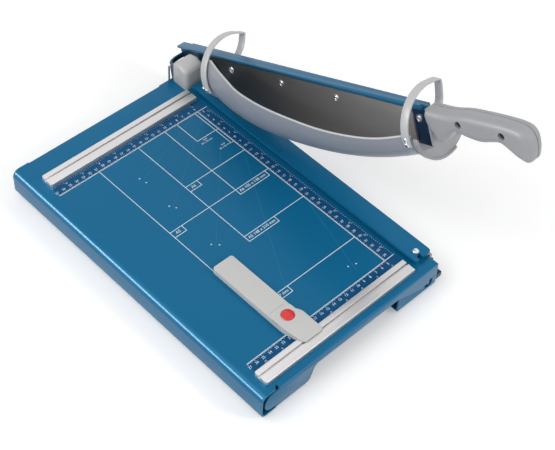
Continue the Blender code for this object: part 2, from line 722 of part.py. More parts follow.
def build_pivot(bracket_finish, steel, root):
    """Bracket under the table, shaft, washer and nut."""
    centre = (PIVOT.y, PIVOT.z)
    top = -SHEET - GAP
    cheek = [(BRACKET_FRONT, top), (PIVOT.y - BRACKET_EYE_RADIUS / 3, top)]
    cheek += arc(centre, BRACKET_EYE_RADIUS, 80, -90)
    cheek += [(BRACKET_FRONT, top - BRACKET_NOSE)]
    bracket = part("pivot_bracket", plate(cheek, "X", CHEEK_RIGHT - BRACKET_PLATE, CHEEK_RIGHT),
                   bracket_finish, root)
    join(bracket, plate(cheek, "X", CHEEK_LEFT - BRACKET_PLATE, CHEEK_LEFT))
    join(bracket, box((CHEEK_LEFT - BRACKET_PLATE / 2, BRACKET_FRONT + GAP, top - BRACKET_PLATE),
                      (CHEEK_RIGHT - BRACKET_PLATE / 2, BRACKET_BRIDGE_BACK, top - GAP / 10)))
    far_left = CHEEK_LEFT - BRACKET_PLATE
    cut(bracket, rod("X", centre, far_left - OVERRUN, CHEEK_RIGHT + OVERRUN, SHAFT_RADIUS + GAP))
    washer_left = WEB_RIGHT + BUSH_PROUD + GAP
    nut_left = washer_left + WASHER_THICK + GAP
    head_right = far_left - GAP
    shaft = part("pivot_shaft", rod("X", centre, head_right - SHAFT_HEAD / 2,
                                    nut_left + NUT_THICK + SHAFT_THREAD_OUT, SHAFT_RADIUS), steel, root)
    join(shaft, rod("X", centre, head_right - SHAFT_HEAD, head_right, SHAFT_HEAD_RADIUS))
    washer = part("pivot_washer", rod("X", centre, washer_left, washer_left + WASHER_THICK, WASHER_RADIUS),
                  steel, root)
    nut = part("pivot_nut", rod("X", centre, nut_left, nut_left + NUT_THICK, NUT_RADIUS, 6), steel, root)
    for ring in (washer, nut):
        cut(ring, rod("X", centre, 0, nut_left + NUT_THICK + OVERRUN, SHAFT_RADIUS + GAP))


def build_lift_spring(steel, root):
    """Lifting spring: a foot under the bracket's bridge, its coils, and a tail behind the table."""
    half = LIFT_WIRE / 2
    bridge_under = -SHEET - GAP - BRACKET_PLATE
    foot_height = bridge_under - GAP - half
    top = PIVOT.z + LIFT_COIL_RADIUS
    start = PIVOT.y - LIFT_FOOT_LENGTH
    points = [(-LIFT_COIL_LEFT, start, foot_height), (-LIFT_COIL_LEFT, start + LIFT_FOOT_RUN, foot_height),
              (-LIFT_COIL_LEFT, start + LIFT_FOOT_RUN + LIFT_WIRE, (foot_height * 2 + top) / 3)]
    per_turn = 10
    count = LIFT_TURNS * per_turn
    for i in range(count + 1):
        angle = 2 * math.pi * i / per_turn
        points.append((-LIFT_COIL_LEFT + LIFT_PITCH * i / per_turn,
                       PIVOT.y + LIFT_COIL_RADIUS * math.sin(angle),
                       PIVOT.z + LIFT_COIL_RADIUS * math.cos(angle)))
    tail_x = -LIFT_COIL_LEFT + LIFT_PITCH * LIFT_TURNS
    tail_y = STOP_TO_BACK + LIFT_TAIL_BEHIND
    bend = LIFT_TAIL_BEND
    points += [(tail_x, y, z) for y, z in arc((tail_y - bend, top + bend), bend, -90, 0, 30)]
    points.append((tail_x, tail_y, LIFT_TAIL_RISE))
    wire("lift_spring", points, half, steel, root)
    report_self_gap("lift spring", LIFT_PITCH, LIFT_WIRE)


def build_cover(finish, root):
    """Moulded cover over the pivot, open below and behind."""
    def outline(wall, past):
        """Side outline, drawn in by a wall and run past its open sides."""
        return [(COVER_FRONT + wall, GAP - past), (COVER_FRONT + COVER_LEAN + wall, COVER_FRONT_HEIGHT - wall),
                (COVER_RIDGE_BACK, COVER_RIDGE_HEIGHT - wall), (COVER_BACK + past, COVER_BACK_HEIGHT - wall),
                (COVER_BACK + past, GAP - past)]
    mesh = plate(outline(0, 0), "X", -COVER_LEFT, -COVER_RIGHT)
    shape = bmesh.new()
    shape.from_mesh(mesh)
    upper = [e for e in shape.edges if max(v.co.z for v in e.verts) > COVER_FRONT_HEIGHT / 2
             and max(v.co.y for v in e.verts) < COVER_BACK - GAP]
    upper += [e for e in shape.edges if e not in upper
              and min(v.co.z for v in e.verts) > COVER_FRONT_HEIGHT / 2
              and min(v.co.y for v in e.verts) < COVER_BACK - GAP]
    bmesh.ops.bevel(shape, geom=upper, offset=COVER_ROUNDING, segments=3, profile=0.5, affect="EDGES",
                    clamp_overlap=True, material=-1)
    cover = part("pivot_cover", closed(shape, mesh), finish, root)
    cut(cover, plate(outline(COVER_WALL, OVERRUN), "X", -COVER_LEFT + COVER_WALL, -COVER_RIGHT - COVER_WALL))


def build_stop(finish, rubber, root):
    """Front stop: a low angle behind the front flange, its ledge and post under the arm, and the buffer."""
    buffer_top = PIVOT.z + WEB_FOOT_HEIGHT - GAP
    post_top = buffer_top - BUFFER_THICK - GAP
    front = -STOP_TO_FRONT + SHEET + GAP
    left, right = STOP_LEDGE_LEFT, STOP_LEDGE_LEFT + STOP_LEDGE_WIDTH
    low = -SHEET_DROP + SHEET + GAP
    ledge_top = low + STOP_PLATE_HEIGHT
    inset = GAP / 10
    stop = part("front_stop", box((TABLE_RIGHT - STOP_PLATE_INSIDE, front, low),
                                  (right, front + STOP_PLATE, ledge_top)), finish, root)
    back = front + STOP_LEDGE_LENGTH
    join(stop, box((left, front + STOP_PLATE / 2, ledge_top - STOP_PLATE),
                   (right - inset, back, ledge_top - inset)))
    join(stop, box((left + inset, front + STOP_POST_BACK, ledge_top - STOP_PLATE / 2),
                   (right - inset * 2, back - inset, post_top)))
    part("stop_buffer", box((left + BUFFER_MARGIN, front + STOP_POST_BACK + BUFFER_MARGIN, post_top + GAP),
                            (right - BUFFER_MARGIN, back - BUFFER_MARGIN, buffer_top)), rubber, root)


def build_gauge(body_finish, steel, red, gauge, button):
    """Back gauge, its shoe in the rail's groove, and its button and spring."""
    left = -GAUGE_LEFT
    right = left + GAUGE_WIDTH
    flare = right + GAUGE_HEAD_FLARE
    heel = FRONT_RAIL_BACK + GAP
    flare_back = heel + GAUGE_FLARE_LENGTH
    corner = GAUGE_CORNER
    main = [(left, heel), (flare, heel), (flare, flare_back - GAUGE_HEAD_FLARE), (right, flare_back),
            (right, -GAUGE_BACK), (left, -GAUGE_BACK)]
    body = part("gauge_arm", plate(rounded(main, [0, 0, corner, corner, corner, corner]), "Z", GAP, GAUGE_TOP),
                body_finish, gauge)
    head_back = -GAUGE_FRONT + GAUGE_HEAD_LENGTH
    inset = GAP / 3
    head = [(left + inset, -GAUGE_FRONT), (flare - inset, -GAUGE_FRONT), (flare - inset, flare_back - corner),
            (right - inset, flare_back), (right - inset, head_back), (left + inset, head_back)]
    join(body, plate(rounded(head, corner), "Z", RAIL_HEIGHT + GAP * 2, GAUGE_HEAD_TOP))
    x, y = left + BUTTON_FROM_LEFT, -GAUGE_FRONT + BUTTON_FROM_FRONT
    cut(body, rod("Z", (x, y), BORE_FLOOR, GAUGE_HEAD_TOP + OVERRUN, BUTTON_RADIUS + GAP, 32))
    groove = FRONT_RAIL_FRONT + GROOVE_FROM_USER_SIDE
    half = GROOVE_WIDTH / 2 - GAP
    rail_top = GAP + RAIL_HEIGHT
    part("gauge_shoe", box((left + SHOE_FROM_LEFT, groove - half, rail_top - GROOVE_DEPTH + GAP),
                           (left + SHOE_FROM_LEFT + SHOE_LENGTH, groove + half, rail_top)), steel, gauge)
    low = BUTTON_TOP - BUTTON_THICK
    profile = [(0, BUTTON_TOP), (BUTTON_RADIUS - BUTTON_EDGE, BUTTON_TOP),
               (BUTTON_RADIUS, BUTTON_TOP - BUTTON_EDGE), (BUTTON_RADIUS, low), (0, low)]
    part("gauge_button", turned(profile, Matrix.Translation((x, y, 0)), 32), red, button)
    wire_half = BUTTON_SPRING_WIRE / 2
    first, last = BORE_FLOOR + GAP + wire_half, low - GAP - wire_half
    wire("gauge_button_spring", coil((x, y), BUTTON_SPRING_RADIUS, first, last, BUTTON_SPRING_TURNS),
         wire_half, steel, gauge)
    report_self_gap("button spring", (last - first) / BUTTON_SPRING_TURNS, BUTTON_SPRING_WIRE)


def along(distance):
    """Y in the arm's frame of a distance ahead of the pivot."""
    return -distance


def side_outline(points):
    """Turn (ahead of the pivot, height) points into the arm's Y and Z."""
    return [(along(s), h) for s, h in points]


def build_arm_bar(finish, arm):
    """Arm: top flange, web, yoke to the left ear, tang and the lugs of the guard pins."""
    middle_top = FLANGE_HEIGHT - FLANGE_THICK / 2
    foot_back = ARM_END - WEB_FOOT_LENGTH
    inset = GAP / 10
    web = [(-YOKE_BEHIND + inset, middle_top), (ARM_END - ARM_END_SLOPE, middle_top),
           (ARM_END - ARM_END_SLOPE / 2, TANG_LOW + TANG_HEIGHT / 2), (ARM_END, WEB_FOOT_HEIGHT),
           (foot_back, WEB_FOOT_HEIGHT), (foot_back - WEB_FOOT_SLOPE, WEB_LOW),
           (EYE_RADIUS * 2, WEB_LOW)]
    web += [(-y, h) for y, h in arc((0, 0), EYE_RADIUS, 160, 360)]
    web += [(-YOKE_BEHIND + inset, YOKE_LOW - YOKE_THICK)]
    bar = part("arm_bar", plate(side_outline(web), "X", WEB_LEFT, WEB_RIGHT), finish, arm)
    x0, low = -FLANGE_LEFT, FLANGE_HEIGHT - FLANGE_THICK
    step = along(FLANGE_REAR_LENGTH - FLANGE_BEHIND)
    flange = [(x0, along(-FLANGE_BEHIND)), (x0, along(ARM_END - ARM_END_SLOPE)),
              (x0 + FLANGE_WIDTH, along(ARM_END - ARM_END_SLOPE)), (x0 + FLANGE_WIDTH, step),
              (x0 + FLANGE_REAR_WIDTH, step), (x0 + FLANGE_REAR_WIDTH, along(-FLANGE_BEHIND))]
    join(bar, plate(flange, "Z", low, FLANGE_HEIGHT))
    outer, behind = -YOKE_LEFT, along(-YOKE_BEHIND)
    strap = [(WEB_MIDDLE, behind)]
    strap += arc((outer + YOKE_BEND, behind - YOKE_BEND), YOKE_BEND, 90, 180)
    strap += [(outer, along(EAR_AHEAD))]
    join(bar, plate(band(strap, YOKE_THICK), "Z", YOKE_LOW, YOKE_LOW + YOKE_HEIGHT))
    ear_top = YOKE_LOW + YOKE_HEIGHT - inset
    ear = [(-EAR_BEHIND, ear_top), (EAR_AHEAD, ear_top)]
    neck = math.degrees(math.acos(EAR_AHEAD / EYE_RADIUS))
    ear += arc((0, 0), EYE_RADIUS, neck, -200)
    join(bar, plate(side_outline(ear), "X", outer + inset, outer + YOKE_THICK + inset))
    tang_back = ARM_END - ARM_END_SLOPE * 2
    join(bar, box((WEB_LEFT + inset, along(tang_back), TANG_LOW),
                  (WEB_RIGHT - inset, along(tang_end()), TANG_LOW + TANG_HEIGHT)))
    for back in lug_backs():
        join(bar, box((WEB_MIDDLE, along(back + LUG_LENGTH), GUARD_AXIS_HEIGHT - LUG_HEIGHT / 2),
                      (WEB_RIGHT + LUG_REACH, along(back), GUARD_AXIS_HEIGHT + LUG_HEIGHT / 2)))
    cut(bar, rod("X", (0, 0), outer - OVERRUN, WEB_RIGHT + OVERRUN, BUSH_RADIUS + GAP))
    for back in lug_backs():
        cut(bar, rod("Y", (GUARD_AXIS_X, GUARD_AXIS_HEIGHT), along(back + LUG_LENGTH) - OVERRUN,
                     along(back) + OVERRUN, GUARD_PIN_RADIUS + GAP))
    for s in SCREW_ALONG:
        cut(bar, rod("X", (along(s), SCREW_HEIGHT), 0, WEB_RIGHT + OVERRUN, SCREW_RADIUS + GAP))
    for s, h in handle_screw_places():
        cut(bar, rod("X", (along(s), h), 0, WEB_RIGHT + OVERRUN, HANDLE_SCREW_RADIUS + GAP))
    return bar


def lug_backs():
    """Where the two lugs start: each ends just behind its hoop."""
    return [start - LUG_SIDE_GAP - LUG_LENGTH for start in (REAR_HOOP_START, FRONT_HOOP_START)]


def handle_screw_places():
    """Places along and above the arm of the handle screws."""
    start = handle_start()
    return [(start + a * HANDLE_LENGTH, HANDLE_LOW + b * HANDLE_HEIGHT) for a, b in HANDLE_SCREW_SHARES]


def handle_start():
    """Where the handle meets the hand guard."""
    return HAND_GUARD_START + HAND_GUARD_LIP + HAND_GUARD_PLATE + GAP


def tang_end():
    """How far the tang reaches into the handle."""
    return handle_start() + HANDLE_LENGTH - TANG_SHORT


def build_blade(steel, screw_finish, arm):
    """Curved upper blade and the screws that hold it."""
    top = FLANGE_HEIGHT - FLANGE_THICK - GAP
    edge = []
    for i in range(BLADE_STEPS + 1):
        t = i / BLADE_STEPS
        sag = BLADE_BELLY * (1 - (2 * t - 1) ** 2)
        edge.append((BLADE_START + (BLADE_END - BLADE_START) * t, BLADE_END_HEIGHT - sag))
    outline = edge + [(BLADE_END, top), (BLADE_START, top)]
    blade = part("upper_blade", plate(side_outline(outline), "X", BLADE_LEFT, BLADE_LEFT + BLADE_THICK),
                 steel, arm)
    for i, s in enumerate(SCREW_ALONG, 1):
        place = (along(s), SCREW_HEIGHT)
        face = BLADE_LEFT if s < BLADE_END else WEB_LEFT
        if s < BLADE_END:
            cut(blade, rod("X", place, -OVERRUN, BLADE_LEFT + BLADE_THICK + OVERRUN, SCREW_RADIUS + GAP))
        screw = part(f"blade_screw_{i}", rod("X", place, face - GAP - SCREW_HEAD / 2, WEB_RIGHT + SCREW_END,
                                             SCREW_RADIUS, 16), screw_finish, arm)
        join(screw, rod("X", place, face - GAP - SCREW_HEAD, face - GAP, SCREW_HEAD_RADIUS, 20))


def build_bushes(brass, arm):
    """One bush in the web's eye and one in the ear."""
    places = {"arm_bush_right": (WEB_LEFT, WEB_RIGHT), "arm_bush_left": (-YOKE_LEFT, -YOKE_LEFT + YOKE_THICK)}
    for name, (low, high) in places.items():
        bush = part(name, rod("X", (0, 0), low - BUSH_PROUD, high + BUSH_PROUD, BUSH_RADIUS), brass, arm)
        cut(bush, rod("X", (0, 0), low - OVERRUN, high + OVERRUN, SHAFT_RADIUS + RUNNING_GAP))


def interpolate(table, share):
    """Read a table of (share, value) points."""
    for (a, va), (b, vb) in zip(table, table[1:]):
        if share <= b:
            return va + (vb - va) * (share - a) / (b - a)
    return table[-1][1]


def guard_radius(s):
    """Outer radius of the guard shell at a distance ahead of the pivot."""
    behind = s < GUARD_BELLY_AT
    reach = GUARD_BELLY_REAR if behind else GUARD_BELLY_FRONT
    end = GUARD_REAR_RADIUS if behind else GUARD_FRONT_RADIUS
    swell = max(0.0, 1 - (abs(s - GUARD_BELLY_AT) / reach) ** GUARD_BELLY_POWER)
    return end + (GUARD_BELLY_RADIUS - end) * swell


def build_shell(finish, guard):
    """Barrel-shaped blade guard, an open surface with a wall."""
    shape = bmesh.new()
    bmesh.ops.create_grid(shape, x_segments=GUARD_GRID[0], y_segments=GUARD_GRID[1], size=0.5)
    for vert in shape.verts:
        length_share, turn_share = vert.co.x + 0.5, vert.co.y + 0.5
        s = GUARD_START + (GUARD_END - GUARD_START) * length_share
        rim = interpolate(GUARD_RIM_DEGREES, length_share)
        tail = interpolate(GUARD_TAIL_DEGREES, length_share)
        angle = math.radians(rim + (tail - rim) * turn_share)
        radius = guard_radius(s)
        vert.co = (radius * math.cos(angle), along(s), radius * math.sin(angle))
    shape.normal_update()
    shape.faces.ensure_lookup_table()
    face = shape.faces[0]
    centre = face.calc_center_median()
    if face.normal.dot(Vector((centre.x, 0, centre.z))) < 0:
        bmesh.ops.reverse_faces(shape, faces=shape.faces)
    mesh = bpy.data.meshes.new("guard_shell")
    shape.to_mesh(mesh)
    shape.free()
    shell = part("guard_shell", mesh, finish, guard)
    wall = shell.modifiers.new("Wall", "SOLIDIFY")
    wall.thickness = GUARD_WALL
    wall.offset = -1
    wall.use_even_offset = True
    return shell


def hoop_outline(middle, tip, tall, shares):
    """Outline of a hoop: a bow over the arm, taller than wide by a share, and its leg to the axis."""
    bow = arc((0, 0), middle, HOOP_START_DEGREES, tip, HOOP_STEP_DEGREES)
    path = [(x, z * tall if z > 0 else z) for x, z in bow]
    leg = [path[-1]] + [(a * middle, b * middle) for a, b in shares]
    path += smooth_path(leg)[1:]
    centred = band(path, HOOP_THICK / 2)[len(path):][::-1]
    return band(centred, -HOOP_THICK)


def build_hoops(finish, guard):
    """The two hoops that carry the shell on the guard's axis."""
    rear = hoop_outline(REAR_HOOP_RADIUS, REAR_HOOP_TIP, 1, REAR_HOOP_LEG)
    front = hoop_outline(FRONT_HOOP_RADIUS, FRONT_HOOP_TIP, FRONT_HOOP_TALL, FRONT_HOOP_LEG)
    hoops = {}
    for name, start, outline in (("rear", REAR_HOOP_START, rear), ("front", FRONT_HOOP_START, front)):
        low, high = along(start + HOOP_WIDTH), along(start)
        hoop = part(f"{name}_hoop", plate(outline, "Y", low, high), finish, guard)
        join(hoop, rod("Y", (0, 0), low - GAP / 10, high + GAP / 10, HOOP_EYE_RADIUS))
        cut(hoop, rod("Y", (0, 0), low - OVERRUN, high + OVERRUN, GUARD_PIN_RADIUS + GAP))
        hoops[name] = hoop
    return hoops


def build_rivets(finish, guard, shell, hoops):
    """Rivets through a hoop and the shell."""
    places = {"rear": (REAR_HOOP_START, REAR_HOOP_RADIUS), "front": (FRONT_HOOP_START, FRONT_HOOP_RADIUS)}
    for i, (name, degrees, share) in enumerate(RIVETS, 1):
        start, middle = places[name]
        s = start + HOOP_WIDTH * share
        inner = guard_radius(s) - GUARD_WALL - GAP
        outer = middle + HOOP_THICK / 2 + GAP
        profile = [(0, outer + RIVET_HEAD), (RIVET_HEAD_RADIUS * 0.7, outer + RIVET_HEAD * 0.75),
                   (RIVET_HEAD_RADIUS, outer), (RIVET_RADIUS, outer), (RIVET_RADIUS, inner),
                   (RIVET_HEAD_RADIUS, inner), (RIVET_HEAD_RADIUS, inner - RIVET_HEAD), (0, inner - RIVET_HEAD)]
        turn = Matrix.Rotation(math.radians(90 - degrees), 4, "Y")
        place = Matrix.Translation((0, along(s), 0)) @ turn
        part(f"hoop_rivet_{i}", turned(profile, place, 16), finish, guard)
        for owner in (shell, hoops[name]):
            hole = turned([(0, outer + OVERRUN), (RIVET_RADIUS + GAP, outer + OVERRUN),
                           (RIVET_RADIUS + GAP, inner - OVERRUN), (0, inner - OVERRUN)], place, 16)
            cut(owner, hole)


def build_guard_pins(steel, arm):
    """Pins that carry the hoops, headed in front of each hoop."""
    place = (GUARD_AXIS_X, GUARD_AXIS_HEIGHT)
    for name, back, start in zip(("rear", "front"), lug_backs(), (REAR_HOOP_START, FRONT_HOOP_START)):
        head = start + HOOP_WIDTH + GAP
        pin = part(f"guard_pin_{name}", rod("Y", place, along(head + GUARD_PIN_HEAD / 2), along(back),
                                            GUARD_PIN_RADIUS, 16), steel, arm)
        join(pin, rod("Y", place, along(head + GUARD_PIN_HEAD), along(head), GUARD_PIN_HEAD_RADIUS, 16))


def build_hand_guard(finish, arm):
    """Hand guard between the arm and the handle: a curved lip with a shorter second lip and a plate."""
    centre = (GUARD_AXIS_X, GUARD_AXIS_HEIGHT)
    first, near_end, far_end = HAND_GUARD_DEGREES
    outer, inner = HAND_GUARD_RADIUS, HAND_GUARD_RADIUS - HAND_GUARD_RIM
    back = HAND_GUARD_START
    floor = back + HAND_GUARD_LIP
    lip = arc(centre, outer, first, far_end, 6) + arc(centre, inner, far_end, first, 6)
    guard = part("hand_guard", plate(lip, "Y", along(floor + GAP), along(back)), finish, arm)
    lip = arc(centre, outer, first, near_end, 6) + arc(centre, inner, near_end, first, 6)
    join(guard, plate(lip, "Y", along(back + HAND_GUARD_DEPTH), along(floor)))
    tab_left = -HAND_GUARD_TAB_LEFT
    tab_right = tab_left + HAND_GUARD_TAB_WIDTH
    outline = arc(centre, outer - HAND_GUARD_RIM / 2, HAND_GUARD_CHORD_DEGREES, far_end - 1, 6)
    outline += [(tab_right, outline[-1][1]), (tab_right, HAND_GUARD_TAB_TOP), (tab_left, HAND_GUARD_TAB_TOP),
                (tab_left, HAND_GUARD_CHORD_HEIGHT)]
    join(guard, plate(outline, "Y", along(floor + HAND_GUARD_PLATE), along(floor)))
    cut(guard, box((WEB_LEFT - GAP, along(back + HAND_GUARD_DEPTH) - OVERRUN, TANG_LOW - GAP),
                   (WEB_RIGHT + GAP, along(back) + OVERRUN, TANG_LOW + TANG_HEIGHT + GAP)))


def build_handle(finish, screw_finish, arm):
    """Two handle halves on the tang, and the screws that hold them."""
    start = handle_start()
    outline = side_outline([(start + a * HANDLE_LENGTH, HANDLE_LOW + b * HANDLE_HEIGHT) for a, b in HANDLE_SHARES])
    halves = {"handle_left": (WEB_MIDDLE - HANDLE_LEFT_WIDTH, WEB_MIDDLE - GAP / 2),
              "handle_right": (WEB_MIDDLE + GAP / 2, WEB_MIDDLE + HANDLE_RIGHT_WIDTH)}
    tang = box((WEB_LEFT - GAP, along(tang_end() + GAP), TANG_LOW - GAP),
               (WEB_RIGHT + GAP, along(ARM_END), TANG_LOW + TANG_HEIGHT + GAP))
    head_floor = WEB_MIDDLE - HANDLE_LEFT_WIDTH + HANDLE_SCREW_SINK + HANDLE_SCREW_HEAD + GAP
    tip = WEB_MIDDLE + HANDLE_SCREW_BITE
    for name, (low, high) in halves.items():
        mesh = plate(outline, "X", low, high, smooth=3)
        outer = low if name == "handle_left" else high
        shape = bmesh.new()
        shape.from_mesh(mesh)
        rim = [e for e in shape.edges if e.calc_face_angle(0) > math.radians(60)
               and all(abs(v.co.x - outer) < GAP / 10 for v in e.verts)]
        bmesh.ops.bevel(shape, geom=rim, offset=HANDLE_ROUNDING, segments=4, profile=0.5, affect="EDGES",
                        clamp_overlap=True, material=-1)
        half = part(name, closed(shape, mesh), finish, arm)
        cut(half, tang)
        cut(half, box((low - OVERRUN, along(start), HANDLE_LOW - OVERRUN),
                      (high + OVERRUN, along(ARM_END), HANDLE_LOW + HANDLE_HEIGHT + OVERRUN)))
        for s, h in handle_screw_places():
            place = (along(s), h)
            cut(half, rod("X", place, head_floor - OVERRUN, tip + GAP, HANDLE_SCREW_RADIUS + GAP))
            if name == "handle_left":
                cut(half, rod("X", place, low - OVERRUN, head_floor, HANDLE_SCREW_HEAD_RADIUS + GAP))
    for i, (s, h) in enumerate(handle_screw_places(), 1):
        place = (along(s), h)
        head = head_floor - GAP
        screw = part(f"handle_screw_{i}", rod("X", place, head - HANDLE_SCREW_HEAD / 2, tip,
                                              HANDLE_SCREW_RADIUS, 16), screw_finish, arm)
        join(screw, rod("X", place, head - HANDLE_SCREW_HEAD, head, HANDLE_SCREW_HEAD_RADIUS, 20))


def settle(root):
    """Move the cutter so that the middle of its base is the origin."""
    bpy.context.view_layer.update()
    graph = bpy.context.evaluated_depsgraph_get()
    corners = []
    for item in collection(PARTS).objects:
        if item.type == "EMPTY":
            continue
        mesh = item.evaluated_get(graph).to_mesh()
        corners += [item.matrix_world @ v.co for v in mesh.vertices]
        item.evaluated_get(graph).to_mesh_clear()
    low = Vector([min(c[i] for c in corners) for i in range(3)])
    high = Vector([max(c[i] for c in corners) for i in range(3)])
    root.location = (-(low.x + high.x) / 2, -(low.y + high.y) / 2, -low.z)
    bpy.context.view_layer.update()


def main():
    """Build the cutter."""
    for item in list(bpy.data.objects):
        bpy.data.objects.remove(item)
    blue = material("blue_paint", (0.02, 0.14, 0.32), 0.35)
    dark_blue = material("dark_blue_paint", (0.006, 0.04, 0.12), 0.35)
    grey = material("grey_plastic", (0.45, 0.46, 0.5), 0.45)
    pale = material("pale_plastic", (0.6, 0.6, 0.58), 0.4)
    aluminium = material("aluminium", (0.68, 0.68, 0.67), 0.4, 0.9)
    steel = material("blade_steel", (0.3, 0.3, 0.31), 0.3, 1)
    dull = material("dull_steel", (0.35, 0.35, 0.36), 0.45, 1)
    chrome = material("chrome", (0.75, 0.75, 0.76), 0.15, 1)
    brass = material("bush_brass", (0.6, 0.45, 0.2), 0.4, 1)
    rubber = material("rubber", (0.02, 0.02, 0.02), 0.8)
    red = material("red_plastic", (0.6, 0.05, 0.04), 0.35)

    root = empty("cutter_origin", (0, 0, 0))
    clamp = empty("clamp_axis", (0, 0, 0), root)
    gauge = empty("gauge_axis", (0, 0, 0), root)
    button = empty("button_axis", (0, 0, 0), gauge)
    arm = empty("arm_pivot", PIVOT, root, -ARM_ANGLE)
    guard = empty("guard_axis", (GUARD_AXIS_X, 0, GUARD_AXIS_HEIGHT), arm)

    build_table(blue, root)
    build_feet(rubber, root)
    build_lower_blade(steel, dull, root)
    rail("back_rail", BACK_RAIL_LEFT, 0, aluminium, root)
    rail("front_rail", FRONT_RAIL_LEFT, FRONT_RAIL_FRONT, aluminium, root)
    build_clamp(blue, chrome, dull, root, clamp)
    build_pivot(dark_blue, dull, root)
    build_lift_spring(dull, root)
    build_cover(grey, root)
    build_stop(dark_blue, rubber, root)
    build_gauge(pale, dull, red, gauge, button)
    build_arm_bar(dark_blue, arm)
    build_blade(steel, dull, arm)
    build_bushes(brass, arm)
    shell = build_shell(grey, guard)
    hoops = build_hoops(grey, guard)
    build_rivets(chrome, guard, shell, hoops)
    build_guard_pins(dull, arm)
    build_hand_guard(grey, arm)
    build_handle(grey, dull, arm)
    settle(root)


main()
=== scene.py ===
"""Looks of the guillotine paper cutter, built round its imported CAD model.

Each sub-assembly is a class whose fields are its sizes. Pieces on the table are drawn
from three lines: X is 0 at the cutting edge, Y is 0 at the face that the paper stops
against and Z is 0 on the table top. Pieces of the blade arm are drawn as the arm lies
when closed, round its pivot, and those of the guard round the guard's axis. Frames
worked out from the CAD model put them in their places. Units are metres.
"""

import json
import logging
import math
from collections.abc import Callable
from dataclasses import dataclass
from enum import Enum

import bmesh
import bpy
from bmesh.types import BMEdge, BMesh, BMFace, BMVert
from bpy.types import ID, Material, Node, NodeOutputs, NodeSocket, NodeTree, Object
from mathutils import Matrix, Vector
from mathutils.geometry import delaunay_2d_cdt, interpolate_bezier
from mathutils.kdtree import KDTree


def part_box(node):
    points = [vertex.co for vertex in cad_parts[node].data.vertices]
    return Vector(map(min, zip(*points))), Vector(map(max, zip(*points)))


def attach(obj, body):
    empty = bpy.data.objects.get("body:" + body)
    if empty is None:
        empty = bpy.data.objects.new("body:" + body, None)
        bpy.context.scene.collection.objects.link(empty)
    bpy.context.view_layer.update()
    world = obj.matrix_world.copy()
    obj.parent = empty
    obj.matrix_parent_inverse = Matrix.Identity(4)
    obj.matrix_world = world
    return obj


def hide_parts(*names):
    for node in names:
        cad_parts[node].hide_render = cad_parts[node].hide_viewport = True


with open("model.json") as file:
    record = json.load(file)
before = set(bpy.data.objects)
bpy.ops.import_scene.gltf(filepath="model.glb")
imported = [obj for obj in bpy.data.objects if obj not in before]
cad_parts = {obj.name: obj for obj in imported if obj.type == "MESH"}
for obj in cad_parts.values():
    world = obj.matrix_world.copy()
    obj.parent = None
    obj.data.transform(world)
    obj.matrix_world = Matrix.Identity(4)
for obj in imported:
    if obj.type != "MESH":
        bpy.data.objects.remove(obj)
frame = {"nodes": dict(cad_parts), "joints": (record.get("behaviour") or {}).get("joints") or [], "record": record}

MM = 0.001
WELD = 0.005 * MM
BEYOND = 2 * MM
FLAT_ANGLE = math.radians(0.5)
PHOTO_WIDTH = 555
SENSOR = 36
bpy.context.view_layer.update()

log = logging.getLogger("paper_cutter")

Point = tuple[float, float]
Place = tuple[float, float, float]
Colour = tuple[float, float, float]


class Finish(Enum):
    """Finishes of the cutter."""

    BLUE_PAINT = "blue_paint"
    DARK_PAINT = "dark_blue_paint"
    GREY_PLASTIC = "grey_plastic"
    PALE_PLASTIC = "pale_plastic"
    ALUMINIUM = "rail_aluminium"
    BLADE_STEEL = "blade_steel"
    DULL_STEEL = "dull_steel"
    CHROME = "chrome_plate"
    BRASS = "bush_brass"
    RUBBER = "black_rubber"
    RED_PLASTIC = "red_plastic"
    PRINT = "table_print"
    BAND = "ruler_band"
    COVER = "cover_plastic"
    HOOP = "hoop_plastic"
    HANDLE = "handle_plastic"
    # Near black for the sunk handle screws: painted shade of their recesses
    BLACKENED = "sunk_screw_painted_shade"
    FAINT_PRINT = "faint_print"
    # Lighter copy of the arm's blue for its top flange: a painted sheen
    ARM_TOP = "arm_top_paint"


class Axis(Enum):
    """Axes of a shape."""

    X = "x"
    Y = "y"
    Z = "z"


# Frames


def joint(name: str) -> dict:
    """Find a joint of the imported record.

    Args:
        name: The joint's name.

    Returns:
        Its entry in the record.
    """
    return next(j for j in frame["joints"] if j["name"] == name)


@dataclass(frozen=True)
class Frames:
    """Places of the table, arm and guard in the frame of the CAD model."""

    table: Matrix
    arm: Matrix
    guard: Matrix

    @classmethod
    def read(cls) -> "Frames":
        """Work the three frames out from the CAD nodes and joints.

        Returns:
            The frames, each as a matrix from its own coordinates to the model's.
        """
        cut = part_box("lower_blade")[1].x
        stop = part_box("back_rail")[0].y
        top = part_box("table_plate")[1].z
        along = Vector(joint("guard_turn")["axis"])
        tilt = Matrix.Rotation(math.atan2(along.z, along.y), 4, "X")
        return cls(
            table=Matrix.Translation((cut, stop, top)),
            arm=Matrix.Translation(joint("arm_hinge")["pos_m"]) @ tilt,
            guard=Matrix.Translation(joint("guard_turn")["pos_m"]) @ tilt,
        )

    def on_table(self, node: str) -> tuple[Vector, Vector]:
        """Give a CAD node's corners measured from the table's three lines."""
        back = self.table.inverted()
        return tuple(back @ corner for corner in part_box(node))


FRAMES = Frames.read()


# Shape tools


def linked(name: str, data: ID) -> Object:
    """Put data into the scene.

    Args:
        name: Name of the object.
        data: What it holds.

    Returns:
        The object.
    """
    made = bpy.data.objects.new(name, data)
    bpy.context.scene.collection.objects.link(made)
    return made


def held(name: str, shape: BMesh) -> Object:
    """Turn a shape into an object of the scene.

    Args:
        name: Name of the object and its mesh.
        shape: The shape, which is freed.

    Returns:
        The object.
    """
    mesh = bpy.data.meshes.new(name)
    shape.to_mesh(mesh)
    shape.free()
    return linked(name, mesh)


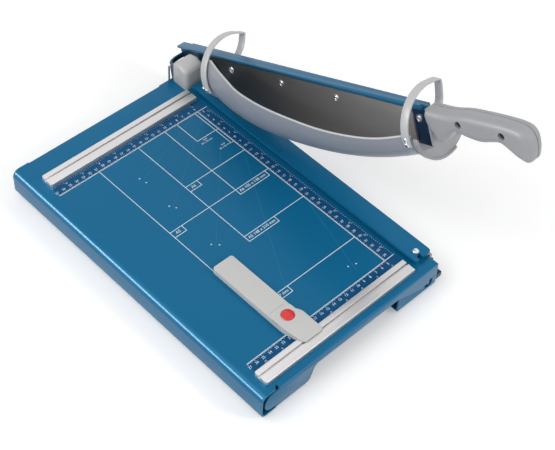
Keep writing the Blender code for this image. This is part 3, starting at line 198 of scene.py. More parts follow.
def evaluated(holder: Object, shape: BMesh, place: Matrix | None = None) -> None:
    """Add what an object makes with its modifiers or its curve to a shape, and remove the object.

    Args:
        holder: The object.
        shape: Mesh that its faces are added to.
        place: Where they go.
    """
    bpy.context.view_layer.update()
    mesh = bpy.data.meshes.new_from_object(holder.evaluated_get(bpy.context.evaluated_depsgraph_get()))
    if place:
        mesh.transform(place)
    shape.from_mesh(mesh)
    bpy.data.objects.remove(holder)


def round_corners(shape: BMesh, corners: list[BMVert], radii: list[float], steps: int) -> None:
    """Round corners of flat faces.

    Args:
        shape: Mesh that holds them.
        corners: The corners.
        radii: Rounding of each.
        steps: Edges in each rounded corner.
    """
    for corner, radius in zip(corners, radii):
        if radius > 0:
            bmesh.ops.bevel(shape, geom=[corner], offset=radius, offset_type="OFFSET", segments=steps,
                            profile=0.5, affect="VERTICES", material=-1, clamp_overlap=True)


def outline_face(shape: BMesh, axis: Axis, points: list[Point],
                 level: float, radii: float | list[float] = 0.0, steps: int = 6) -> BMFace:
    """Draw a flat face from its corners and round them.

    Args:
        shape: Mesh that the face is added to.
        axis: Axis across the face.
        points: Corners in the other two axes, in X, Y, Z order.
        level: Height of the face along the axis.
        radii: Rounding of every corner, or one for each.
        steps: Edges in each rounded corner.

    Returns:
        The face.
    """
    spread = {
        Axis.X: lambda a, b: (level, a, b),
        Axis.Y: lambda a, b: (a, level, b),
        Axis.Z: lambda a, b: (a, b, level),
    }[axis]
    corners = [shape.verts.new(spread(a, b)) for a, b in points]
    face = shape.faces.new(corners)
    round_corners(shape, corners, radii if isinstance(radii, list) else [radii] * len(corners), steps)
    shape.faces.ensure_lookup_table()
    return shape.faces[-1] if not face.is_valid else face


def thicken(shape: BMesh, faces: list[BMFace], way: Vector) -> None:
    """Give faces thickness by extruding them.

    Args:
        shape: Mesh that holds the faces.
        faces: Faces to extrude.
        way: Direction and distance.
    """
    made = bmesh.ops.extrude_face_region(shape, geom=faces)["geom"]
    bmesh.ops.translate(shape, vec=way, verts=[item for item in made if isinstance(item, BMVert)])


def plate(axis: Axis, points: list[Point], low: float, high: float,
          radii: float | list[float] = 0.0, steps: int = 6) -> BMesh:
    """Make a plate with rounded corners.

    Args:
        axis: Axis across the plate.
        points: Corners in the other two axes, in X, Y, Z order.
        low: Where the plate starts along the axis.
        high: Where it ends.
        radii: Rounding of every corner, or one for each.
        steps: Edges in each rounded corner.

    Returns:
        The closed plate.
    """
    shape = bmesh.new()
    face = outline_face(shape, axis, points, low, radii, steps)
    way = Vector({Axis.X: (1, 0, 0), Axis.Y: (0, 1, 0), Axis.Z: (0, 0, 1)}[axis])
    thicken(shape, [face], way * (high - low))
    return outward(shape)


def block(low: Place, high: Place) -> BMesh:
    """Make a box.

    Args:
        low: Its lowest corner.
        high: Its highest corner.

    Returns:
        The box.
    """
    shape = bmesh.new()
    bmesh.ops.create_cube(shape, size=1)
    bmesh.ops.scale(shape, vec=Vector(high) - Vector(low), verts=shape.verts)
    bmesh.ops.translate(shape, vec=(Vector(high) + Vector(low)) / 2, verts=shape.verts)
    return shape


def rod(start: Vector, end: Vector, radius: float, sides: int = 32) -> BMesh:
    """Make a round bar.

    Args:
        start: Middle of its first end.
        end: Middle of its other end.
        radius: Its radius.
        sides: Its number of sides.

    Returns:
        The bar.
    """
    shape = bmesh.new()
    way = Vector(end) - Vector(start)
    bmesh.ops.create_cone(shape, cap_ends=True, segments=sides, radius1=radius, radius2=radius,
                          depth=way.length)
    turn = way.to_track_quat("Z", "Y").to_matrix().to_4x4()
    bmesh.ops.transform(shape, matrix=Matrix.Translation((Vector(start) + Vector(end)) / 2) @ turn,
                        verts=shape.verts)
    return shape


def turned(profile: list[Point], place: Matrix, sides: int) -> BMesh:
    """Turn a profile round Z.

    Args:
        profile: Points as (radius, height).
        place: Where the turned shape goes.
        sides: Steps round the axis.

    Returns:
        The turned shape, closed where the profile starts and ends on the axis.
    """
    shape = bmesh.new()
    verts = [shape.verts.new((radius, 0, height)) for radius, height in profile]
    edges = [shape.edges.new(pair) for pair in zip(verts, verts[1:])]
    bmesh.ops.spin(shape, geom=verts + edges, cent=(0, 0, 0), axis=(0, 0, 1), angle=math.tau, steps=sides,
                   use_merge=True, use_duplicate=False)
    bmesh.ops.remove_doubles(shape, verts=shape.verts, dist=WELD)
    bmesh.ops.transform(shape, matrix=place, verts=shape.verts)
    return outward(shape)


def outward(shape: BMesh) -> BMesh:
    """Turn a closed shape's faces outwards."""
    bmesh.ops.recalc_face_normals(shape, faces=shape.faces)
    return shape


def lies_at(edge: BMEdge, axis: Axis, level: float) -> bool:
    """Tell whether an edge lies at a level of an axis."""
    return all(abs(getattr(vert.co, axis.value) - level) < WELD for vert in edge.verts)


def with_ends(edges: list[BMEdge]) -> list[BMEdge | BMVert]:
    """Put edges and the vertices at their ends together."""
    return edges + list({vert for edge in edges for vert in edge.verts})


def soften(shape: BMesh, width: float, segments: int = 2, angle: float = 60,
           chosen: Callable[[BMEdge], bool] = lambda edge: True) -> BMesh:
    """Round the sharp edges of a closed shape.

    Args:
        shape: The shape.
        width: Width of the rounding.
        segments: Steps across it.
        angle: Edges that turn more than this many degrees are rounded.
        chosen: Test that an edge also has to pass.

    Returns:
        The same shape.
    """
    sharp = [edge for edge in shape.edges if edge.is_manifold and edge.calc_face_angle() > math.radians(angle)
             and chosen(edge)]
    bmesh.ops.bevel(shape, geom=sharp, offset=width, segments=segments, profile=0.5, affect="EDGES",
                    material=-1, clamp_overlap=True)
    return shape


def merged(shape: BMesh, other: BMesh) -> None:
    """Add a shape, which is freed, to another.

    Args:
        shape: The shape that grows.
        other: The shape that is added.
    """
    mesh = bpy.data.meshes.new("part")
    other.to_mesh(mesh)
    other.free()
    shape.from_mesh(mesh)
    bpy.data.meshes.remove(mesh)


def combine(shape: BMesh, tools: list[BMesh], operation: str = "DIFFERENCE") -> BMesh:
    """Cut solids from a solid, or join them to it.

    Args:
        shape: The solid. It is freed.
        tools: The other solids. They are freed.
        operation: Name of the boolean operation.

    Returns:
        The new solid.
    """
    solid, *others = [held("solid", part) for part in (shape, *tools)]
    for tool in others:
        step = solid.modifiers.new("step", "BOOLEAN")
        step.operation = operation
        step.solver = "EXACT"
        step.object = tool
    made = bmesh.new()
    evaluated(solid, made)
    for tool in others:
        bpy.data.objects.remove(tool)
    bmesh.ops.remove_doubles(made, verts=made.verts, dist=WELD)
    return made


def piece(name: str, shape: BMesh, finish: Finish, body: str, place: Matrix,
          stands_for: tuple[str, ...] = (), flat: float = 35) -> Object:
    """Turn a shape into a finished piece that rides on a body.

    Args:
        name: Name of the piece.
        shape: Its shape, which is freed.
        finish: Its finish.
        body: CAD body that it rides on.
        place: Matrix from the shape's coordinates to the model's.
        stands_for: CAD nodes that it replaces.
        flat: Edges that turn more than this many degrees stay sharp.

    Returns:
        The piece's object, at the origin.
    """
    bmesh.ops.transform(shape, matrix=place, verts=shape.verts)
    made = held(name, shape)
    mesh = made.data
    mesh.shade_smooth()
    mesh.set_sharp_from_angle(angle=math.radians(flat))
    mesh.materials.append(MATERIALS[finish])
    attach(made, body)
    if stands_for:
        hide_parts(*stands_for)
    log.info("%s: %d faces", name, len(mesh.polygons))
    return made


def softened_node(node: str, width: float) -> BMesh:
    """Copy a CAD node's shape and round its edges.

    Args:
        node: The CAD node.
        width: Width of the rounding.

    Returns:
        The copy.
    """
    shape = bmesh.new()
    shape.from_mesh(frame["nodes"][node].data)
    bmesh.ops.remove_doubles(shape, verts=shape.verts, dist=WELD)
    bmesh.ops.dissolve_limit(shape, angle_limit=FLAT_ANGLE, verts=shape.verts, edges=shape.edges)
    return soften(shape, width, angle=40)


# Finishes

NOISE_MIDDLE = 0.5
GRAIN_DETAIL = 3
PATCH_SCALE = 14
PATCH_DETAIL = 4
SCRATCH_DETAIL = 5
# Share of the blade's colour left at its darkest end: painted shade, not a real tint
PAINTED_SHADE_LEVEL = 0.06


def feed(node: Node, inputs: dict[int | str, object]) -> Node:
    """Fill a shader node's inputs.

    Args:
        node: The node.
        inputs: A value, or the output that is linked, for each input.

    Returns:
        The same node.
    """
    for name, value in inputs.items():
        if isinstance(value, NodeSocket):
            node.id_data.links.new(value, node.inputs[name])
        else:
            node.inputs[name].default_value = value
    return node


def placed(tree: NodeTree, kind: str, inputs: dict[int | str, object], **settings: object) -> Node:
    """Place a shader node.

    Args:
        tree: Node tree that it goes in.
        kind: The end of its type's name.
        inputs: A value, or the output that is linked, for each input.
        settings: Its properties.

    Returns:
        The node.
    """
    node = tree.nodes.new(f"ShaderNode{kind}")
    for name, value in settings.items():
        setattr(node, name, value)
    return feed(node, inputs)


def open_group(name: str, own: dict[str, str]) -> tuple[NodeTree, NodeOutputs]:
    """Start the node group of a surface.

    Args:
        name: Name of the group.
        own: Kinds of the inputs that only this group has, by name.

    Returns:
        The group, with the inputs Colour, Tone, Roughness and Spread besides its own and the
        outputs Colour, Roughness and Height, and the outputs of its input node.
    """
    tree = bpy.data.node_groups.new(name, "ShaderNodeTree")
    inputs = {"Colour": "Color", **own, "Tone": "Float", "Roughness": "Float", "Spread": "Float"}
    outputs = {"Colour": "Color", "Roughness": "Float", "Height": "Float"}
    for way, sockets in (("INPUT", inputs), ("OUTPUT", outputs)):
        for socket, kind in sockets.items():
            tree.interface.new_socket(name=socket, in_out=way, socket_type=f"NodeSocket{kind}")
    return tree, tree.nodes.new("NodeGroupInput").outputs


def close_group(tree: NodeTree, start: NodeOutputs, pattern: Node, height: Node) -> NodeTree:
    """Let a noise vary a surface's tone and roughness, and end its node group.

    Args:
        tree: The group.
        start: The outputs of its input node.
        pattern: Noise that varies tone and roughness.
        height: Noise of the bumps.

    Returns:
        The group.
    """
    swing = placed(tree, "Math", {0: pattern.outputs["Fac"], 1: NOISE_MIDDLE}, operation="SUBTRACT")
    tone = placed(tree, "Math", {0: swing.outputs[0], 1: start["Tone"], 2: 1.0}, operation="MULTIPLY_ADD")
    shade = placed(tree, "HueSaturation", {"Color": start["Colour"], "Value": tone.outputs[0]})
    rough = placed(tree, "Math", {0: swing.outputs[0], 1: start["Spread"], 2: start["Roughness"]},
                   operation="MULTIPLY_ADD")
    feed(tree.nodes.new("NodeGroupOutput"), {"Colour": shade.outputs["Color"], "Roughness": rough.outputs[0],
                                             "Height": height.outputs["Fac"]})
    return tree


def grain_group() -> NodeTree:
    """Make the node group of a fine moulded or sprayed grain over slow changes of tone.

    Returns:
        The group, with the input Scale besides the usual ones.
    """
    tree, start = open_group("surface_grain", {"Scale": "Float"})
    place = placed(tree, "TexCoord", {}).outputs["Object"]
    fine = placed(tree, "TexNoise", {"Vector": place, "Scale": start["Scale"], "Detail": GRAIN_DETAIL})
    slow = placed(tree, "TexNoise", {"Vector": place, "Scale": PATCH_SCALE, "Detail": PATCH_DETAIL})
    return close_group(tree, start, slow, fine)


def brushed_group() -> NodeTree:
    """Make the node group of fine scratches along one direction.

    Returns:
        The group, with the inputs Stretch and Turn besides the usual ones.
    """
    tree, start = open_group("brushed_lines", {"Stretch": "Vector", "Turn": "Vector"})
    place = placed(tree, "TexCoord", {}).outputs["Object"]
    turn = placed(tree, "Mapping", {"Vector": place, "Rotation": start["Turn"]})
    stretch = placed(tree, "VectorMath", {0: turn.outputs["Vector"], 1: start["Stretch"]},
                     operation="MULTIPLY")
    lines = placed(tree, "TexNoise", {"Vector": stretch.outputs[0], "Scale": 1, "Detail": SCRATCH_DETAIL})
    return close_group(tree, start, lines, lines)


def shader_material(name: str) -> tuple[Material, Node]:
    """Make an empty material.

    Args:
        name: Name of the material.

    Returns:
        The material and its Principled BSDF node.
    """
    made = bpy.data.materials.new(name)
    made.use_nodes = True
    return made, made.node_tree.nodes["Principled BSDF"]


def surface_material(name: str, group: NodeTree, values: dict[str, object], depth: float,
                     looks: dict[str, object]) -> tuple[Material, Node, Node]:
    """Make a material from the node group of a surface.

    Args:
        name: Name of the material.
        group: The shared node group.
        values: The group's inputs.
        depth: Depth of the bump in metres.
        looks: Other inputs of the shader.

    Returns:
        The material, its Principled BSDF node and the placed group.
    """
    made, shader = shader_material(name)
    tree = made.node_tree
    source = placed(tree, "Group", values, node_tree=group)
    bump = placed(tree, "Bump", {"Strength": 1, "Distance": depth, "Height": source.outputs["Height"]})
    feed(shader, {"Base Color": source.outputs["Colour"], "Roughness": source.outputs["Roughness"],
                  "Normal": bump.outputs["Normal"], **looks})
    return made, shader, source


@dataclass(frozen=True)
class GrainFinish:
    """Sprayed or moulded finish with a fine grain."""

    colour: Colour
    roughness: float
    scale: float = 900.0
    depth: float = 0.01 * MM
    tone: float = 0.1
    spread: float = 0.1
    metallic: float = 0.0
    coat: float = 0.0
    coat_roughness: float = 0.1
    specular: float = 0.5
    tint: Colour = (1.0, 1.0, 1.0)

    def material(self, name: str, groups: dict[str, NodeTree]) -> Material:
        """Make the material.

        Args:
            name: Name of the material.
            groups: The shared node groups by name.

        Returns:
            The material.
        """
        values = {"Colour": (*self.colour, 1), "Scale": self.scale, "Tone": self.tone,
                  "Roughness": self.roughness, "Spread": self.spread}
        looks = {"Metallic": self.metallic, "Coat Weight": self.coat, "Coat Roughness": self.coat_roughness,
                 "Specular IOR Level": self.specular, "Specular Tint": (*self.tint, 1)}
        return surface_material(name, groups["grain"], values, self.depth, looks)[0]


@dataclass(frozen=True)
class BrushedFinish:
    """Metal with fine lines along one direction."""

    colour: Colour
    roughness: float
    stretch: Place
    turn: float = 0.0
    tone: float = 0.25
    spread: float = 0.25
    depth: float = 0.004 * MM
    metallic: float = 1.0
    # Y span of the painted shade: the colour darkens towards dark_from
    dark_from: float = 0.0
    dark_to: float = 0.0

    def material(self, name: str, groups: dict[str, NodeTree]) -> Material:
        """Make the material.

        Args:
            name: Name of the material.
            groups: The shared node groups by name.

        Returns:
            The material.
        """
        values = {"Colour": (*self.colour, 1), "Stretch": self.stretch, "Turn": (self.turn, 0, 0),
                  "Tone": self.tone, "Roughness": self.roughness, "Spread": self.spread}
        made, shader, source = surface_material(name, groups["brushed"], values, self.depth,
                                                {"Metallic": self.metallic})
        if self.dark_from != self.dark_to:
            self.darken(made.node_tree, source, shader)
        return made

    def darken(self, tree: NodeTree, source: Node, shader: Node) -> None:
        """Paint shade into the metal's colour, darker towards one end, for the shade and dark reflections near the
        pivot.

        Args:
            tree: The material's nodes.
            source: The placed node group.
            shader: The Principled BSDF.
        """
        place = placed(tree, "TexCoord", {})
        split = placed(tree, "SeparateXYZ", {0: place.outputs["Object"]})
        share = placed(tree, "MapRange", {"Value": split.outputs["Y"], "From Min": self.dark_from,
                                          "From Max": self.dark_to, "To Min": PAINTED_SHADE_LEVEL, "To Max": 1.0})
        shade = placed(tree, "HueSaturation", {"Color": source.outputs["Colour"],
                                               "Value": share.outputs["Result"]})
        feed(shader, {"Base Color": shade.outputs["Color"]})


ARM_TURN = -FRAMES.arm.to_euler().x
# The blade steel is painted darker towards the pivot, as shade and dark reflections there
BLADE_DARK = (FRAMES.arm @ Vector((0, -40 * MM, 0))).y
BLADE_BRIGHT = (FRAMES.arm @ Vector((0, -380 * MM, 0))).y
PAINT_TINT = (0.2, 0.65, 1.0)
FINISHES = {
    Finish.BLUE_PAINT: GrainFinish((0.003, 0.130, 0.278), 0.29, tone=0.1, coat=0.12, coat_roughness=0.28,
                                   specular=0.42, tint=PAINT_TINT),
    Finish.DARK_PAINT: GrainFinish((0.005, 0.036, 0.098), 0.3, tone=0.1, specular=0.3),
    Finish.GREY_PLASTIC: GrainFinish((0.335, 0.35, 0.39), 0.36, scale=1400, depth=0.012 * MM, tone=0.06,
                                     specular=0.3),
    Finish.PALE_PLASTIC: GrainFinish((0.62, 0.62, 0.61), 0.5, scale=1300, depth=0.015 * MM, tone=0.05,
                                      specular=0.3),
    Finish.ALUMINIUM: BrushedFinish((0.70, 0.69, 0.69), 0.38, (12, 2600, 2600), metallic=0.75),
    # Blade steel carries painted shade, darker towards the pivot
    Finish.BLADE_STEEL: BrushedFinish((0.36, 0.35, 0.34), 0.38, (1800, 30, 1800), ARM_TURN, metallic=0.5,
                                      dark_from=BLADE_DARK, dark_to=BLADE_BRIGHT),
    Finish.DULL_STEEL: GrainFinish((0.33, 0.33, 0.34), 0.4, scale=1600, depth=0.008 * MM, metallic=1.0),
    Finish.CHROME: GrainFinish((0.78, 0.78, 0.79), 0.1, scale=600, depth=0.002 * MM, metallic=1.0),
    Finish.BRASS: BrushedFinish((0.6, 0.45, 0.2), 0.35, (2400, 200, 200)),
    Finish.RUBBER: GrainFinish((0.018, 0.018, 0.019), 0.75, scale=1100, depth=0.02 * MM, tone=0.2),
    Finish.RED_PLASTIC: GrainFinish((0.76, 0.035, 0.03), 0.16, scale=1200, depth=0.004 * MM, tone=0.08),
    Finish.PRINT: GrainFinish((0.86, 0.93, 0.96), 0.5, scale=2200, depth=0.003 * MM, tone=0.12, specular=0.1),
    Finish.BAND: GrainFinish((0.005, 0.078, 0.200), 0.3, tone=0.1, specular=0.3, tint=PAINT_TINT),
    Finish.FAINT_PRINT: GrainFinish((0.035, 0.20, 0.38), 0.5, scale=2200, tone=0.12, specular=0.1),
    # Painted sheen: the arm's blue made lighter for its top flange
    Finish.ARM_TOP: GrainFinish((0.010, 0.125, 0.255), 0.3, tone=0.1, specular=0.4, tint=PAINT_TINT),
    Finish.COVER: GrainFinish((0.54, 0.54, 0.53), 0.42, scale=1300, depth=0.015 * MM, tone=0.05,
                              specular=0.3),
    Finish.HOOP: GrainFinish((0.58, 0.59, 0.60), 0.4, scale=1300, depth=0.01 * MM, tone=0.05, specular=0.3),
    Finish.HANDLE: GrainFinish((0.39, 0.395, 0.415), 0.42, scale=1300, depth=0.015 * MM, tone=0.05,
                                specular=0.3),
    # Painted shade: near black for the screws deep in the handle's recesses
    Finish.BLACKENED: GrainFinish((0.012, 0.012, 0.013), 0.5, scale=1600, depth=0.006 * MM, metallic=0.3),
}
SHADED_SUNK_NODES = ("handle_screw_1", "handle_screw_2")
GROUPS = {"grain": grain_group(), "brushed": brushed_group()}
MATERIALS = {finish: look.material(finish.value, GROUPS) for finish, look in FINISHES.items()}


def dress_nodes() -> None:
    """Give every CAD node that stays in sight the material of its slot, but paint the sunk handle screws near
    black as the shade in their recesses.
    """
    finish_of = {entry["node"]: Finish(entry["material_slot"]) for entry in frame["record"]["subparts"]}
    for name, node in frame["nodes"].items():
        node.data.materials.clear()
        # The sunk screws are painted near black, standing in for the shade in their recesses
        finish = Finish.BLACKENED if name in SHADED_SUNK_NODES else finish_of[name]
        node.data.materials.append(MATERIALS[finish])
        node.data.shade_smooth()


# Sheet and bar tools


def line(shape: BMesh, vert: BMVert, way: Place) -> BMVert:
    """Draw a straight edge.

    Args:
        shape: The mesh.
        vert: Where the edge starts.
        way: Direction and length.

    Returns:
        Its far end.
    """
    made = bmesh.ops.extrude_vert_indiv(shape, verts=[vert])["verts"]
    bmesh.ops.translate(shape, vec=way, verts=made)
    return made[0]


def bend(shape: BMesh, geom: list, centre: Place, axis: Place, degrees: float,
         steps: int = 6) -> list:
    """Spin vertices or edges round an axis.

    Args:
        shape: Mesh that holds them.
        geom: What is spun.
        centre: A point on the axis.
        axis: Direction of the axis.
        degrees: Angle turned.
        steps: Steps on the way.

    Returns:
        What stands at the end.
    """
    made = bmesh.ops.spin(shape, geom=geom, cent=centre, axis=axis, angle=math.radians(degrees), steps=steps,
                          use_merge=False, use_duplicate=False)
    return made["geom_last"]


def drawn_out(shape: BMesh, edges: list[BMEdge], way: Place) -> list[BMEdge]:
    """Extrude edges.

    Args:
        shape: The mesh.
        edges: Edges to extrude.
        way: Direction and distance.

    Returns:
        The new edges at the far side.
    """
    made = bmesh.ops.extrude_edge_only(shape, edges=edges)["geom"]
    verts = [item for item in made if isinstance(item, BMVert)]
    bmesh.ops.translate(shape, vec=way, verts=verts)
    far = set(verts)
    return [item for item in made if isinstance(item, BMEdge) and set(item.verts) <= far]


def split_at(shape: BMesh, place: Place, normal: Place, clear: bool = False) -> None:
    """Score a shape along a plane, or cut off what lies behind the plane."""
    bmesh.ops.bisect_plane(shape, geom=shape.verts[:] + shape.edges[:] + shape.faces[:], dist=WELD,
                           plane_co=place, plane_no=normal, clear_inner=clear)


def walled(shape: BMesh, thickness: float, offset: float = -1.0) -> BMesh:
    """Give an open surface a wall.

    Args:
        shape: The surface, which is freed.
        thickness: Thickness of the wall.
        offset: -1 puts the wall behind the surface, and 0 on both its sides.

    Returns:
        The closed wall.
    """
    holder = held("surface", shape)
    step = holder.modifiers.new("wall", "SOLIDIFY")
    step.thickness = thickness
    step.offset = offset
    step.use_even_offset = True
    made = bmesh.new()
    evaluated(holder, made)
    return made


def smooth_value(table: tuple[Point, ...], share: float) -> float:
    """Read a table of (share, value) points along a smooth curve through them.

    Args:
        table: The points, by rising share.
        share: Where to read.

    Returns:
        The value there.
    """
    last = len(table) - 1
    at = next((i for i in range(last) if share <= table[i + 1][0]), last - 1)
    (a, va), (b, vb) = table[at], table[at + 1]
    before, after = table[max(at - 1, 0)], table[min(at + 2, last)]
    t = (share - a) / (b - a)
    slope_a = (vb - before[1]) / (b - before[0]) * (b - a)
    slope_b = (after[1] - va) / (after[0] - a) * (b - a)
    return ((2 * t ** 3 - 3 * t ** 2 + 1) * va + (t ** 3 - 2 * t ** 2 + t) * slope_a
            + (3 * t ** 2 - 2 * t ** 3) * vb + (t ** 3 - t ** 2) * slope_b)


# Table


@dataclass
class Table:
    """Folded table sheet: top, rolled left edge, right skirt, end flanges and foot lips."""

    sheet: float = 2 * MM
    skirt_drop: float = 34 * MM
    skirt_bend: float = 3 * MM
    skirt_notch: float = 6.5 * MM
    fold: float = 2.5 * MM
    roll_top: float = 10 * MM
    roll_low: float = 8 * MM
    roll_return: float = 23 * MM
    roll_steps: int = 12
    return_steps: int = 10
    relief: float = 1 * MM
    left_foot: float = 50 * MM
    right_foot: float = 66.5 * MM
    arch_drop: float = 13 * MM
    arch_slope: float = 8 * MM
    fillet: float = 5 * MM
    small_fillet: float = 1.25 * MM
    fillet_steps: int = 8
    lip: float = 20 * MM
    corner_x: float = -32.3 * MM
    corner_y: float = 34 * MM
    back_short: float = 51 * MM
    hook_from_edge: float = 14 * MM
    hook_low: float = 7.5 * MM
    hook_radius: float = 4.2 * MM
    hook_width: float = 4.8 * MM
    hook_rise: float = 5.5 * MM
    hook_steps: int = 12
    edge: float = 0.35 * MM
    end_gap: float = 3.4 * MM
    end_round: float = 12 * MM
    nick: float = 5.5 * MM

    def __post_init__(self) -> None:
        """Read the sheet's outline from the CAD node."""
        low, high = FRAMES.on_table("table_plate")
        self.left, self.front, self.under = low
        self.right, self.back = high.x, high.y
        self.flange_left = self.left + self.roll_return + self.relief

    def profile(self, shape: BMesh) -> None:
        """Draw the sheet's profile across the table.

        Args:
            shape: Mesh that it is added to.
        """
        y, right, across = self.front + self.fold, self.right, (0, 1, 0)
        end = shape.verts.new((right, y, -self.skirt_drop))
        end = line(shape, end, (0, 0, self.skirt_drop - self.skirt_bend))
        end = bend(shape, [end], (right - self.skirt_bend, y, -self.skirt_bend), across, -90)[0]
        end = line(shape, end, (self.left + self.roll_top - right + self.skirt_bend, 0, 0))
        end = bend(shape, [end], (self.left + self.roll_top, y, -self.roll_top), across, -90,
                   self.roll_steps)[0]
        end = line(shape, end, (0, 0, self.under + self.roll_low + self.roll_top))
        end = bend(shape, [end], (self.left + self.roll_low, y, self.under + self.roll_low), across, -90,
                   self.return_steps)[0]
        line(shape, end, (self.roll_return - self.roll_low, 0, 0))

    def end_edges(self, shape: BMesh, y: float, low: float, high: float) -> list[BMEdge]:
        """Find the open edges at one end of the sheet, between two X places."""
        return [edge for edge in shape.edges if edge.is_boundary and lies_at(edge, Axis.Y, y)
                and all(low - WELD < vert.co.x < high + WELD for vert in edge.verts)]

    def folded_end(self, shape: BMesh, end: float, inward: int, right: float) -> None:
        """Fold one end of the sheet down into its flange and foot lips.

        Args:
            shape: The sheet.
            end: Y of the flange's outer face.
            inward: 1 or -1, the way into the table.
            right: X where the flange ends.
        """
        fold = self.fold
        y = end + inward * fold
        flat_right = min(right, self.right - self.skirt_bend)
        flat = [edge for edge in self.end_edges(shape, y, self.flange_left, flat_right)
                if lies_at(edge, Axis.Z, 0)]
        rest = [edge for edge in self.end_edges(shape, y, self.left, self.right)
                if edge not in flat and not (min(v.co.z for v in edge.verts) < -self.skirt_bend - WELD
                                             and min(v.co.x for v in edge.verts) > self.right - WELD)]
        drawn_out(shape, rest, (0, -inward * fold, 0))
        folded = bend(shape, with_ends(flat), (0, y, -fold), (1, 0, 0), 90 * inward)
        top = sorted([v for v in folded if isinstance(v, BMVert)], key=lambda v: v.co.x)
        low = self.under + fold
        foot_left, foot_right = self.flange_left + self.left_foot, right - self.right_foot
        arch = [(foot_right, low), (foot_right, -self.arch_drop),
                (foot_left + self.arch_slope, -self.arch_drop), (foot_left, low)]
        outline = [(right, low), *arch, (self.flange_left, low)]
        radii = [0, self.small_fillet, self.small_fillet, self.fillet, self.fillet, 0]
        if inward > 0:
            inside = self.sheet + self.end_gap
            outline += [(self.flange_left, self.under + inside), (self.left + inside, self.under + inside),
                        (self.left + inside, -inside), (self.flange_left, -inside)]
            radii += [0, self.end_round, self.end_round, 0]
        if right > flat_right:
            outline.insert(0, (right, -fold - self.skirt_bend))
            radii.insert(0, 0)
        made = [shape.verts.new((x, end, z)) for x, z in outline]
        shape.faces.new(top + made)
        round_corners(shape, made, radii, self.fillet_steps)
        feet = [edge for edge in shape.edges
                if edge.is_boundary and lies_at(edge, Axis.Y, end) and lies_at(edge, Axis.Z, low)]
        lips = bend(shape, with_ends(feet), (0, end + inward * fold, low), (1, 0, 0), 90 * inward)
        drawn_out(shape, [item for item in lips if isinstance(item, BMEdge)],
                  (0, inward * (self.lip - fold), 0))

    def hook_slot(self) -> BMesh:
        """Make the cutter of the hook-shaped slot in the right front foot.

        Returns:
            The closed cutter.
        """
        x, z = self.right - self.hook_from_edge, self.under + self.hook_low + self.hook_radius
        half = self.hook_width / 2
        shape = bmesh.new()
        start = [shape.verts.new((x + self.hook_radius + side * half, self.front - BEYOND, z))
                 for side in (-1, 1)]
        edge = shape.edges.new(start)
        bend(shape, [edge, *start], (x, 0, z), (0, 1, 0), 180, self.hook_steps)
        rise = [edge for edge in shape.edges
                if lies_at(edge, Axis.Z, z) and all(vert.co.x > x for vert in edge.verts)]
        drawn_out(shape, rise, (0, 0, self.hook_rise))
        bmesh.ops.remove_doubles(shape, verts=shape.verts, dist=WELD)
        thicken(shape, shape.faces[:], Vector((0, self.sheet + 2 * BEYOND, 0)))
        return outward(shape)

    def build(self) -> None:
        """Build the sheet as one piece."""
        shape = bmesh.new()
        self.profile(shape)
        drawn_out(shape, shape.edges[:], (0, self.back - self.front - 2 * self.fold, 0))
        back_right = self.right - self.back_short
        for place in (self.flange_left, self.corner_x, back_right):
            split_at(shape, (place, 0, 0), (1, 0, 0))
        for place in (self.corner_y, self.front + self.skirt_notch):
            split_at(shape, (0, place, 0), (0, 1, 0))
        notch_top = -self.sheet - self.skirt_bend
        split_at(shape, (0, 0, notch_top), (0, 0, 1))
        gone = []
        for face in shape.faces:
            middle = face.calc_center_median()
            corner = middle.x > self.corner_x and middle.y > self.corner_y
            notch = (middle.x > self.right - self.sheet and middle.y < self.front + self.skirt_notch
                     and middle.z < notch_top)
            if corner or notch:
                gone.append(face)
        bmesh.ops.delete(shape, geom=gone, context="FACES")
        self.folded_end(shape, self.front, 1, self.right)
        self.folded_end(shape, self.back, -1, back_right)
        bmesh.ops.remove_doubles(shape, verts=shape.verts, dist=WELD)
        outward(shape)
        shape.faces.ensure_lookup_table()
        top = max(shape.faces, key=lambda face: face.calc_area())
        if top.normal.z < 0:
            bmesh.ops.reverse_faces(shape, faces=shape.faces)
        at, before = self.flange_left, self.front - BEYOND
        nick = plate(Axis.Z, [(at - self.nick, before), (at + self.nick / 2, before),
                              (at, self.front + self.nick)], -self.nick, BEYOND)
        shape = combine(walled(shape, self.sheet), [self.hook_slot(), nick])
        soften(shape, self.edge, angle=50)
        piece("table_sheet", shape, Finish.BLUE_PAINT, "base", FRAMES.table, ("table_plate",), flat=38)


